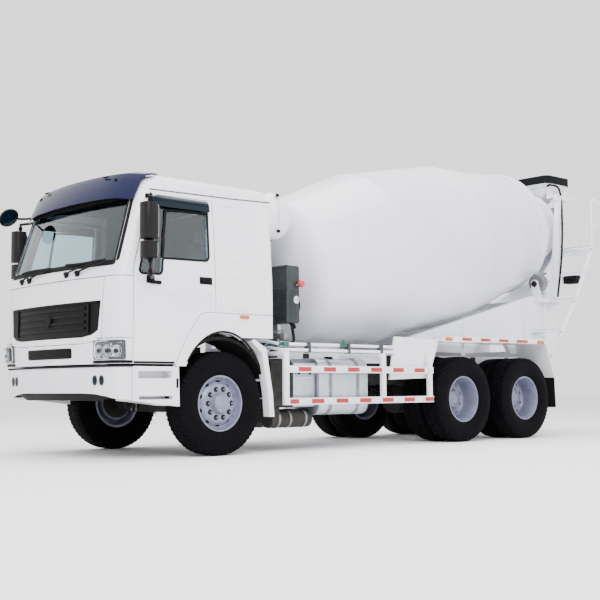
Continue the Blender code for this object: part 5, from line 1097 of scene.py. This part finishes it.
def makeSeat(label, x):
    base = [blockPart((x - 0.145, -0.400, 1.3605), (x + 0.145, 0.020, 1.600), 0.02)]
    makePiece("seat_base_" + label, base, "blackPlastic", "cab", 40)
    lower = cushion((x - 0.248, -0.515, 1.600), (x + 0.248, 0.005, 1.758), 0.03, (-0.45, 0.45))
    seat = makePiece("seat_cushion_" + label, [lower], "seatCloth", "cab", 60)
    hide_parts("seat_" + label)
    back = cushion((x - 0.238, -0.060, 0.0), (x + 0.238, 0.560, 0.120), 0.02, (-0.5, 0.0, 0.5))
    points, faces = back
    lean = math.radians(78.0)
    y, z = points[:, 1] + 0.060, points[:, 2]
    leaned = np.stack([points[:, 0], -0.035 + y * math.cos(lean) + (0.12 - z) * math.sin(lean) * 0.9,
                       1.752 + y * math.sin(lean) * 1.0 - (0.12 - z) * math.cos(lean)], -1)
    backrest = makePiece("seat_back_" + label, [(leaned, faces)], "seatCloth", "cab", 60)
    head = cushion((x - 0.125, 0.100, 2.375), (x + 0.125, 0.210, 2.505), 0.015, ())
    rest = makePiece("seat_headrest_" + label, [head], "seatCloth", "cab", 60)


makeSeat("left", 0.62)
makeSeat("right", -0.62)
# back wall, roof lining and floor mat
wallX, wallZ = np.meshgrid(np.linspace(-1.115, 1.115, 12), np.linspace(1.40, 2.84, 10), indexing="ij")
wall = np.stack([wallX, np.full_like(wallX, 0.665) - 0.012 * (np.abs(np.sin(wallX * 9)) < 0.25), wallZ], -1)
roofX, roofS = np.meshgrid(np.linspace(-1.04, 1.04, 14), np.linspace(-0.86, 0.66, 12), indexing="ij")
roof = np.stack([roofX, roofS, 2.865 - 0.05 * np.abs(roofX / 1.04) ** 3 - 0.06 * np.clip((-0.6 - roofS) / 0.26, 0, 1) ** 2], -1)
matX, matS = np.meshgrid(np.linspace(-1.06, 1.06, 10), np.linspace(-1.15, 0.64, 8), indexing="ij")
mat = np.stack([matX, matS, np.full_like(matX, 1.3725)], -1)
lining = [shellPart(wall, wall + (0, 0.008, 0)), shellPart(roof, roof + (0, 0, 0.008)), shellPart(mat, mat + (0, 0, 0.006))]
makePiece("cab_lining", lining, "cabLining", "cab", 60)
bunk = cushion((-1.05, 0.210, 1.640), (1.05, 0.650, 1.800), 0.02, (-0.33, 0.33))
bunkPad = makePiece("sleeper_bunk", [bunk], "seatCloth", "cab", 60)
print("interior made")


# ---- reflective tape, lamps and side gear
def flatPatch(x, s0, s1, z0, z1, thick=0.0015):
    return platePart(roundedOutline((s0, z0), (s1, z1), 0.004, 2), "x", x, x + thick, 0.0005)


def makeSideGear():
    red, white = [], []
    for z, first in ((0.937, 1.081), (0.570, 0.886)):
        s = first
        index = 0
        while s < 3.42:
            end = min(s + 0.198, 3.425)
            (red if index % 2 == 0 else white).append(flatPatch(1.2002, max(s, 0.950 if z < 0.7 else s), end, z - 0.026, z + 0.026))
            s = end
            index += 1
    for s0, s1 in ((3.964, 4.168), (4.356, 4.570), (4.758, 4.971), (5.155, 5.413)):
        red.append(flatPatch(1.2482, s0, s1, 1.333, 1.372))
    for s0, s1 in ((4.170, 4.354), (4.572, 4.756), (4.973, 5.153)):
        white.append(flatPatch(1.2482, s0, s1, 1.333, 1.372))
    makePiece("red_tape", red + [flipPart(p) for p in red], "redTape", "chassis", 30)
    makePiece("white_tape", white + [flipPart(p) for p in white], "whiteTape", "chassis", 30)
    amber = []
    for s0, s1 in ((3.620, 3.755), (5.640, 5.800)):
        amber += bothSides(platePart(roundedOutline((s0, 1.322), (s1, 1.372), 0.018), "x", 1.246, 1.266, 0.008))
    makePiece("mudguard_lamps", amber, "amberLens", "chassis", 30)
    # fuel tank: pressed ends, straps and filler cap
    low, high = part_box("fuel_tank")
    y0, y1 = low[1] - axleY, high[1] - axleY
    outline = roundedOutline((low[0] - 0.004, low[2] - 0.004), (high[0] + 0.004, high[2] + 0.004), 0.134, 8)
    straps = [platePart(outline, "y", s, s + 0.055, 0.003) for s in (y0 + 0.16, y1 - 0.20)]
    makePiece("fuel_tank_straps", straps, "wornSteel", "chassis", 30)
    rims = []
    for s in (y0 + 0.001, y1 - 0.013):
        rims.append(platePart(roundedOutline((low[0] - 0.003, low[2] - 0.003), (high[0] + 0.003, high[2] + 0.003), 0.133, 8),
                              "y", s, s + 0.012, 0.004))
    cap = [lathePart([(0, 0.0), (0, 0.055), (0.020, 0.055), (0.026, 0.050), (0.030, 0.030), (0.031, 0)],
                     (high[0] - 0.150, y0 + 0.30, high[2] - 0.002), (0, 0, 1), 32)]
    makePiece("fuel_tank_seams", rims, "aluminium", "chassis", 30)
    makePiece("fuel_cap", cap, "blackPlastic", "chassis", 30)
    # battery box: lid with pressed ribs, catches
    low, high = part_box("battery_box")
    y0, y1 = low[1] - axleY, high[1] - axleY
    lid = [blockPart((low[0] - 0.004, y0 - 0.004, high[2] - 0.075), (high[0] + 0.006, y1 + 0.004, high[2] + 0.012), 0.012)]
    for z in np.linspace(low[2] + 0.08, high[2] - 0.15, 5):
        lid.append(blockPart((high[0] - 0.004, y0 + 0.03, z - 0.012), (high[0] + 0.006, y1 - 0.03, z + 0.012), 0.005))
    makePiece("battery_lid", lid, "aluminium", "chassis", 30)
    catches = [blockPart((high[0] + 0.002, s - 0.015, high[2] - 0.12), (high[0] + 0.018, s + 0.015, high[2] - 0.045), 0.004)
               for s in (y0 + 0.08, y1 - 0.08)]
    makePiece("battery_catches", catches, "blackPlastic", "chassis", 30)
    # air tank bands and drain cocks
    low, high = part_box("air_tanks")
    bands = []
    for x in (0.640, 0.900):
        for s in (0.95, 1.12, 1.36):
            bands.append(lathePart([(0, 0.1035), (0, 0.108), (0.03, 0.108), (0.03, 0.1035)], (x, s, 0.370), (0, 1, 0), 32, True))
        bands.append(lathePart([(0, 0), (0, 0.012), (0.03, 0.010), (0.034, 0)], (x, 1.47, 0.370), (0, 1, 0), 12))
    makePiece("air_tank_bands", bands, "wornSteel", "chassis", 30)
    # water and hydraulic pipes over the guard, with clips, valve and fitting
    pipes = []
    for z, x in ((1.226, 1.105), (1.160, 1.130)):
        route = [(0.62, 0.86, z + 0.05), (0.90, 0.88, z + 0.03), (x - 0.03, 0.90, z), (x, 1.00, z), (x, 2.0, z), (x, 2.78, z),
                 (x - 0.04, 2.86, z), (0.80, 2.90, z + 0.02), (0.70, 2.90, 1.18)]
        pipes.append(tubePart(softCorners(route, 0.05, 6), 0.019, 12))
    makePiece("side_pipes", pipes, "whiteEnamel", "chassis", 40)
    clips = []
    for s in (1.30, 1.95, 2.52):
        clips.append(blockPart((1.075, s - 0.018, 1.130), (1.160, s + 0.018, 1.252), 0.008))
    makePiece("pipe_clips", clips, "trimPlastic", "chassis", 30)
    valve = [lathePart([(-0.05, 0.0), (-0.05, 0.026), (-0.03, 0.030), (0.03, 0.030), (0.05, 0.026), (0.05, 0.0)],
                       (1.105, 1.870, 1.226), (0, 1, 0), 20),
             lathePart([(0, 0), (0, 0.018), (0.05, 0.016), (0.055, 0.030), (0.075, 0.030), (0.08, 0)],
                       (1.118, 1.870, 1.226), (0.6, 0, 0.8), 20)]
    fitting = [lathePart([(-0.04, 0.0), (-0.04, 0.026), (0.04, 0.026), (0.045, 0.0)], (1.105, 0.960, 1.226), (0, 1, 0), 6)]
    makePiece("green_valve", valve + fitting, "greenPaint", "chassis", 30)
    hose = hosePart([(0.60, 0.90, 1.30), (0.80, 0.89, 1.20), (0.98, 0.90, 1.23), (1.10, 0.92, 1.226)], 0.024, 30, 12)
    makePiece("teal_pipe", [hose], "tealHose", "chassis", 40)
    # tail lamps
    lamps = bothSides(blockPart((0.720, 6.2335, 0.665), (0.880, 6.250, 0.735), 0.006))
    makePiece("tail_lamps", lamps, "redLens", "chassis", 30)
    turnLamps = bothSides(blockPart((0.890, 6.2335, 0.665), (1.025, 6.250, 0.735), 0.006))
    makePiece("turn_lamps", turnLamps, "amberLens", "chassis", 30)
    # rubber tails on the mud flaps
    flaps = []
    for side in (1, -1):
        grid = []
        xs = np.linspace(0.70, 1.24, 12)
        zs = np.linspace(0.86, 0.42, 10)
        xx, zz = np.meshgrid(xs, zs, indexing="ij")
        ss = 6.043 + (0.86 - zz) * 0.05 + 0.004 * np.sin(xx * 22)
        grid = np.stack([xx * side, ss, zz], -1)
        flaps.append(shellPart(grid, grid + (0, 0.008, 0)))
    makePiece("mud_flaps", flaps, "softRubber", "chassis", 40)
    # rail bolts and shear plates along the frame
    rivets = []
    for s in np.arange(-0.9, 6.9, 0.26):
        for z in (0.83, 0.97):
            rivets += bothSides(lathePart([(0, 0), (0, 0.013), (0.007, 0.012), (0.010, 0.006), (0.010, 0)], (0.430, s, z), (1, 0, 0), 8))
    makePiece("frame_bolts", rivets, "wornSteel", "chassis", 30)
    clamps = []
    for s in (1.9, 2.7, 3.4, 4.4, 5.2, 6.0, 6.6):
        clamps += bothSides(blockPart((0.4305, s - 0.05, 0.900), (0.442, s + 0.05, 1.150), 0.003))
    makePiece("subframe_shear_plates", clamps, "chassisBlack", "chassis", 30)


makeSideGear()
print("side gear made")


# ---- behind the cab
def makeBehindCab():
    tankMiddle = np.array([0.0, 1.170, 2.780])
    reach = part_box("water_tank")[1][0]
    dome = [(0.122, 0.2765), (0.107, 0.2745), (0.090, 0.268), (0.062, 0.245), (0.034, 0.196), (0.012, 0.134), (0.000, 0.070),
            (-0.002, 0.0)]
    profile = [(-(reach - gap), r) for gap, r in dome[::-1]] + [(reach - gap, r) for gap, r in dome]
    makePiece("water_tank_shell", [lathePart(profile, tankMiddle, (1, 0, 0), 72)], "whiteEnamel", "chassis", 40)
    bands = [lathePart([(x, 0.2745), (x, 0.281), (x + 0.045, 0.281), (x + 0.045, 0.2745)], tankMiddle, (1, 0, 0), 72, True)
             for x in (-0.415, 0.365)]
    bands += [lathePart([(x - 0.006, 0.2745), (x - 0.003, 0.279), (x + 0.003, 0.279), (x + 0.006, 0.2745)], tankMiddle,
                        (1, 0, 0), 72, True) for x in (0.112 - reach, reach - 0.112)]
    makePiece("water_tank_bands", bands, "whiteEnamel", "chassis", 30)
    saddle = []
    for x in (-0.42, 0.36):
        t = np.linspace(math.radians(200), math.radians(330), 24)
        ring = np.stack([np.full(24, x + 0.03), 1.170 + 0.300 * np.cos(t), 2.780 + 0.300 * np.sin(t)], -1)
        saddle.append(tubePart(ring, 0.026, 8))
    makePiece("water_tank_saddles", saddle, "chassisBlack", "chassis", 40)
    fittings = [lathePart([(0, 0), (0, 0.022), (0.030, 0.022), (0.034, 0.016), (0.036, 0)], (reach - 0.030, 1.170, 3.005), (0.4, 0, 0.9), 20),
                lathePart([(0, 0), (0, 0.020), (0.025, 0.020), (0.030, 0)], (reach - 0.020, 1.170, 2.585), (1, 0, 0), 20),
                lathePart([(0, 0), (0, 0.060), (0.020, 0.060), (0.030, 0.050), (0.034, 0)], (0.10, 1.170, 3.050), (0, 0, 1), 28)]
    makePiece("water_tank_fittings", fittings, "blackPlastic", "chassis", 30)
    sight = tubePart(np.array([(reach - 0.02, 1.170, 2.99), (reach + 0.012, 1.170, 2.94), (reach + 0.012, 1.170, 2.64), (reach - 0.015, 1.170, 2.60)]), 0.007, 10)
    makePiece("water_sight_tube", [sight], "lampGlass", "chassis", 40)
    # oil cooler: plain header above, fins below, shroud and fan ring behind
    low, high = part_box("oil_cooler")
    y0, y1 = low[1] - axleY, high[1] - axleY
    fins = []
    for z in np.arange(1.52, 1.86, 0.022):
        fins.append(blockPart((0.585, y0 - 0.010, z), (0.972, y0 + 0.004, z + 0.007), 0.002))
    for z in np.arange(1.52, 1.86, 0.022):
        fins.append(blockPart((0.988, y0 + 0.03, z), (0.997, y1 - 0.03, z + 0.007), 0.002))
    makePiece("cooler_fins", fins, "coolerPaint", "chassis", 30)
    frames = [blockPart((0.560, y0 - 0.012, 1.486), (0.582, y0 + 0.003, 2.155), 0.004),
              blockPart((0.972, y0 - 0.012, 1.486), (0.994, y0 + 0.003, 2.155), 0.004),
              blockPart((0.560, y0 - 0.012, 1.868), (0.994, y0 + 0.003, 1.892), 0.004),
              blockPart((0.560, y0 - 0.012, 2.130), (0.994, y0 + 0.003, 2.156), 0.004)]
    makePiece("cooler_frame", frames, "coolerPaint", "chassis", 30)
    fan = [lathePart([(0, 0.0), (0, 0.165), (0.050, 0.175), (0.055, 0.168), (0.030, 0.155), (0.030, 0.0)],
                     (0.776, y1 - 0.001, 1.70), (0, 1, 0), 48)]
    makePiece("cooler_fan_ring", fan, "blackPlastic", "chassis", 40)
    knob = [lathePart([(0.045 * -math.cos(t), 0.045 * math.sin(t)) for t in np.linspace(0, math.pi, 15)],
                      (1.035, 1.275, 1.944), (0, 0, 1), 24)]
    makePiece("red_knob", knob, "redPaint", "chassis", 60)
    stem = [tubePart(np.array([(0.985, 1.25, 1.93), (1.010, 1.262, 1.937), (1.030, 1.273, 1.943)]), 0.012, 10),
            lathePart([(0, 0), (0, 0.046), (0.008, 0.046), (0.012, 0.040), (0.012, 0)], (0.992, 1.235, 1.754), (1, 0, 0), 32)]
    makePiece("cooler_gauge", stem, "polishedRod", "chassis", 40)
    hoses = [hosePart([(0.70, 1.30, 2.10), (0.60, 1.42, 2.15), (0.42, 1.42, 2.05), (0.22, 1.36, 2.08)], 0.020, 40, 12),
             hosePart([(0.80, 1.30, 1.56), (0.72, 1.45, 1.45), (0.45, 1.52, 1.62), (0.24, 1.45, 1.92)], 0.020, 40, 12),
             hosePart([(0.92, 1.22, 1.485), (0.93, 1.24, 1.36), (0.98, 1.20, 1.27), (1.06, 1.05, 1.23)], 0.018, 40, 12),
             hosePart([(0.62, 1.22, 1.485), (0.60, 1.24, 1.35), (0.55, 1.10, 1.25), (0.46, 0.80, 1.10)], 0.018, 40, 12),
             hosePart([(0.20, 1.05, 2.56), (0.45, 1.05, 2.30), (0.50, 1.06, 1.70), (0.62, 0.95, 1.32)], 0.016, 40, 12)]
    makePiece("behind_cab_hoses", hoses, "softRubber", "chassis", 50)
    valves = [blockPart((0.72, 1.06, 1.30), (0.86, 1.16, 1.40), 0.012),
              blockPart((0.90, 1.04, 1.27), (0.99, 1.13, 1.36), 0.012),
              blockPart((0.60, 1.04, 1.18), (1.00, 1.22, 1.20), 0.004)]
    for k in range(4):
        valves.append(lathePart([(0, 0), (0, 0.014), (0.05, 0.012), (0.055, 0)], (0.74 + k * 0.032, 1.058, 1.36), (0, -1, 0.2), 10))
    makePiece("valve_block", valves, "wornSteel", "chassis", 30)
    # gearbox flange bolts
    makePiece("gearbox_bolts", boltRing(drumFoot - drumAxis * 0.552, -drumAxis, 18, 0.236, 0.010, 0.012), "wornSteel", "chassis", 30)
    # cab rear details: snorkel
    snorkel = [platePart(roundedOutline((-1.02, 0.760), (-0.80, 0.905), 0.03), "z", 1.38, 2.62, 0.02)]
    makePiece("air_intake_stack", snorkel, "blackPlastic", "chassis", 40)


makeBehindCab()
print("equipment behind the cab made")


# ---- rear frame, hopper, collector and ladder details
def makeRear():
    rimLow, rimHigh = (-0.556, 6.994), (0.556, 7.646)
    band = []
    outer = roundedOutline(rimLow, rimHigh, 0.105, 10)
    inner = roundedOutline((rimLow[0] + 0.030, rimLow[1] + 0.030), (rimHigh[0] - 0.030, rimHigh[1] - 0.030), 0.078, 10)
    rows = []
    for ring, z in ((outer, 3.928), (outer + 0.0, 4.048), (outer * 1.0, 4.0545), (inner, 4.0545), (inner, 3.948)):
        rows.append(np.column_stack([ring, np.full(len(ring), z)]))
    band.append(gridPart(np.array(rows), wrapRows=True, wrapCols=True))
    makePiece("hopper_rim_band", band, "linerSteel", "chassis", 30)
    # collector rim strip and stiffening ribs
    spread = math.radians(94.0)
    t = np.linspace(-spread, spread, 48)
    strips = []
    for z, y, across, back, radius in ((3.622, 7.200, 0.608, 0.456, 0.012), (3.300, 7.208, 0.612, 0.462, 0.006),
                                       (2.952, 7.250, 0.542, 0.422, 0.006), (2.545, 7.335, 0.214, 0.214, 0.010)):
        path = np.stack([across * np.sin(t), y + back * np.cos(t), np.full(48, z)], -1)
        strips.append(tubePart(path, radius, 8))
    makePiece("collector_beads", strips, "linerSteel", "chassis", 40)
    # platform grating
    bars = []
    for x in np.arange(0.59, 1.20, 0.045):
        bars.append(blockPart((x - 0.003, 7.20, 2.8702), (x + 0.003, 7.74, 2.884), 0.001))
    for s in np.arange(7.22, 7.75, 0.09):
        bars.append(blockPart((0.575, s - 0.003, 2.8702), (1.205, s + 0.003, 2.882), 0.001))
    makePiece("platform_grating", bars, "wornSteel", "chassis", 30)
    treads = []
    for s, z in ((6.370, 1.530), (6.770, 2.000), (7.080, 2.420)):
        for ds in np.linspace(-0.07, 0.07, 5):
            treads.append(blockPart((0.76, s + ds - 0.008, z + 0.030), (1.19, s + ds + 0.008, z + 0.036), 0.002))
    makePiece("ladder_tread_ribs", treads, "wornSteel", "chassis", 30)
    box = [blockPart((0.80, 6.995, 2.300), (1.02, 7.165, 2.416), 0.012)]
    makePiece("valve_box", box, "blackPlastic", "chassis", 30)
    # roller bearing caps
    reach = 0.940 + 0.125 + 0.006
    caps = []
    for side in (1, -1):
        centre = drumFoot + drumAxis * 4.530 + np.array([side * reach * math.sin(math.radians(40)), 0, 0]) \
            - drumUp * reach * math.cos(math.radians(40))
        for end in (1, -1):
            place = centre + drumAxis * 0.1045 * end
            caps.append(lathePart([(0.0, 0.0), (0.0, 0.046), (0.016, 0.044), (0.022, 0.030), (0.024, 0)], place, drumAxis * end, 28))
            caps += boltRing(place, drumAxis * end, 4, 0.052, 0.006, 0.008)
    makePiece("roller_caps", caps, "chassisBlack", "chassis", 30)
    # water hose along the left post
    hose = hosePart([(0.74, 6.93, 2.10), (0.755, 7.02, 2.60), (0.755, 7.08, 3.20), (0.70, 7.12, 3.78), (0.56, 7.10, 3.90),
                     (0.50, 7.06, 3.88)], 0.016, 50, 10)
    makePiece("rinse_hose", [hose], "softRubber", "chassis", 50)
    # side plate stiffeners
    ribs = []
    for s in (4.05, 4.65, 6.10, 6.60):
        top = 1.375 + (s - 3.5) * 0.252 - 0.05
        low = 1.46 if 4.93 < s < 5.77 else 1.255
        ribs += bothSides(blockPart((0.680, s - 0.006, low), (0.728, s + 0.006, top), 0.003))
    makePiece("side_plate_ribs", ribs, "whiteEnamel", "chassis", 30)


makeRear()
print("rear made")


# ---- underside
def makeUnderside():
    leaves = []
    for side in (1, -1):
        for k in range(1, 6):
            half = 0.775 - 0.13 * k
            s = np.linspace(-half, half, 20)
            z = 0.685 - 0.035 * np.cos(s / 0.785 * np.pi / 2) - 0.0115 * k - 0.012
            grid = np.array([[(side * (0.420 + x), ss, zz) for ss, zz in zip(s - 0.01, z)] for x in (-0.0395, 0.0395)])
            leaves.append(shellPart(grid, grid - (0, 0, 0.0095)))
    makePiece("spring_leaves", leaves, "castIron", "chassis", 30)
    bolts = []
    for side in (1, -1):
        for s in (-0.075, 0.075):
            path = softCorners([(side * 0.370, s, 0.47), (side * 0.370, s, 0.700), (side * 0.470, s, 0.700), (side * 0.470, s, 0.47)], 0.03)
            bolts.append(tubePart(path, 0.009, 8))
        for centre in (4.025, 5.375):
            for s in (-0.07, 0.07):
                path = softCorners([(side * 0.340, centre + s, 0.50), (side * 0.340, centre + s, 0.700),
                                    (side * 0.460, centre + s, 0.700), (side * 0.460, centre + s, 0.50)], 0.03)
                bolts.append(tubePart(path, 0.010, 8))
    makePiece("u_bolts", bolts, "wornSteel", "chassis", 40)
    chambers = []
    for side in (1, -1):
        for centre in (4.025, 5.375):
            chambers.append(lathePart([(0, 0), (0, 0.05), (0.02, 0.078), (0.07, 0.082), (0.078, 0.088), (0.086, 0.082), (0.16, 0.078),
                                       (0.175, 0.05), (0.178, 0)], (side * 0.60, centre + 0.10, 0.640), (0, 1, 0.1), 28))
    makePiece("brake_chambers", chambers, "castIron", "chassis", 30)
    dampers = []
    for side in (1, -1):
        dampers.append(tubePart(np.array([(side * 0.50, -0.12, 0.52), (side * 0.50, -0.20, 0.70), (side * 0.48, -0.24, 0.80)]), 0.030, 14))
    makePiece("front_dampers", dampers, "castIron", "chassis", 40)
    covers = []
    for centre in (4.025, 5.375):
        covers += boltRing((0, centre + 0.091, axleZ), (0, 1, 0), 14, 0.180, 0.008, 0.008)
    makePiece("axle_cover_bolts", covers, "wornSteel", "chassis", 30)


makeUnderside()
print("underside made")

# ---- camera, floor and light
look = {"place": (10.331, -7.234, 0.723), "heading": 42.41, "pitch": 4.66, "roll": -0.375, "lens": 64.7}
heading, pitch, roll = (math.radians(look[k]) for k in ("heading", "pitch", "roll"))
forward = Vector((-math.cos(heading) * math.cos(pitch), math.sin(heading) * math.cos(pitch), math.sin(pitch)))
right = forward.cross(Vector((0, 0, 1))).normalized()
up = right.cross(forward)
rolledRight = right * math.cos(roll) + up * math.sin(roll)
rolledUp = up * math.cos(roll) - right * math.sin(roll)
camera = bpy.data.objects.new("camera", bpy.data.cameras.new("camera"))
camera.data.lens = look["lens"]
camera.data.sensor_width = 36.0
camera.data.clip_end = 200.0
turn = Matrix((rolledRight, rolledUp, -forward)).transposed()
camera.matrix_world = Matrix.Translation(Vector(look["place"]) + Vector((0, axleY, 0))) @ turn.to_4x4()
bpy.context.collection.objects.link(camera)
bpy.context.scene.camera = camera

floorGrid = np.stack(np.meshgrid(np.linspace(-60, 60, 9), np.linspace(-60, 60, 9), indexing="xy"), -1)
floorPoints = np.concatenate([floorGrid, np.zeros((9, 9, 1))], -1)
floorMesh = bpy.data.meshes.new("floor")
points, faces = gridPart(floorPoints)
floorMesh.from_pydata(points.tolist(), [], faces)
floor = bpy.data.objects.new("floor", floorMesh)
bpy.context.collection.objects.link(floor)
floorFinish = bpy.data.materials.new("matt_studio_floor")
floorFinish.use_nodes = True
floorShader = floorFinish.node_tree.nodes["Principled BSDF"]
floorShader.inputs["Base Color"].default_value = srgb("#F7F7F8")
floorShader.inputs["Roughness"].default_value = 0.9
floorMesh.materials.append(floorFinish)

world = bpy.data.worlds.new("studio")
world.use_nodes = True
world.node_tree.nodes["Background"].inputs["Color"].default_value = srgb("#FFFFFF")
world.node_tree.nodes["Background"].inputs["Strength"].default_value = 1.75
bpy.context.scene.world = world
lamps = {
    "keyLight": {"place": (9.0, -9.0, 9.5), "size": 7.0, "power": 1700.0},
    "fillLight": {"place": (12.0, 4.0, 6.0), "size": 8.0, "power": 250.0},
    "topLight": {"place": (0.0, 0.0, 12.0), "size": 9.0, "power": 1500.0},
}
for name, lamp in lamps.items():
    light = bpy.data.lights.new(name, "AREA")
    light.size = lamp["size"]
    light.energy = lamp["power"]
    holder = bpy.data.objects.new(name, light)
    holder.location = lamp["place"]
    holder.rotation_euler = (Vector((0, 0, 1.5)) - holder.location).to_track_quat("-Z", "Y").to_euler()
    bpy.context.collection.objects.link(holder)
print("stage set")
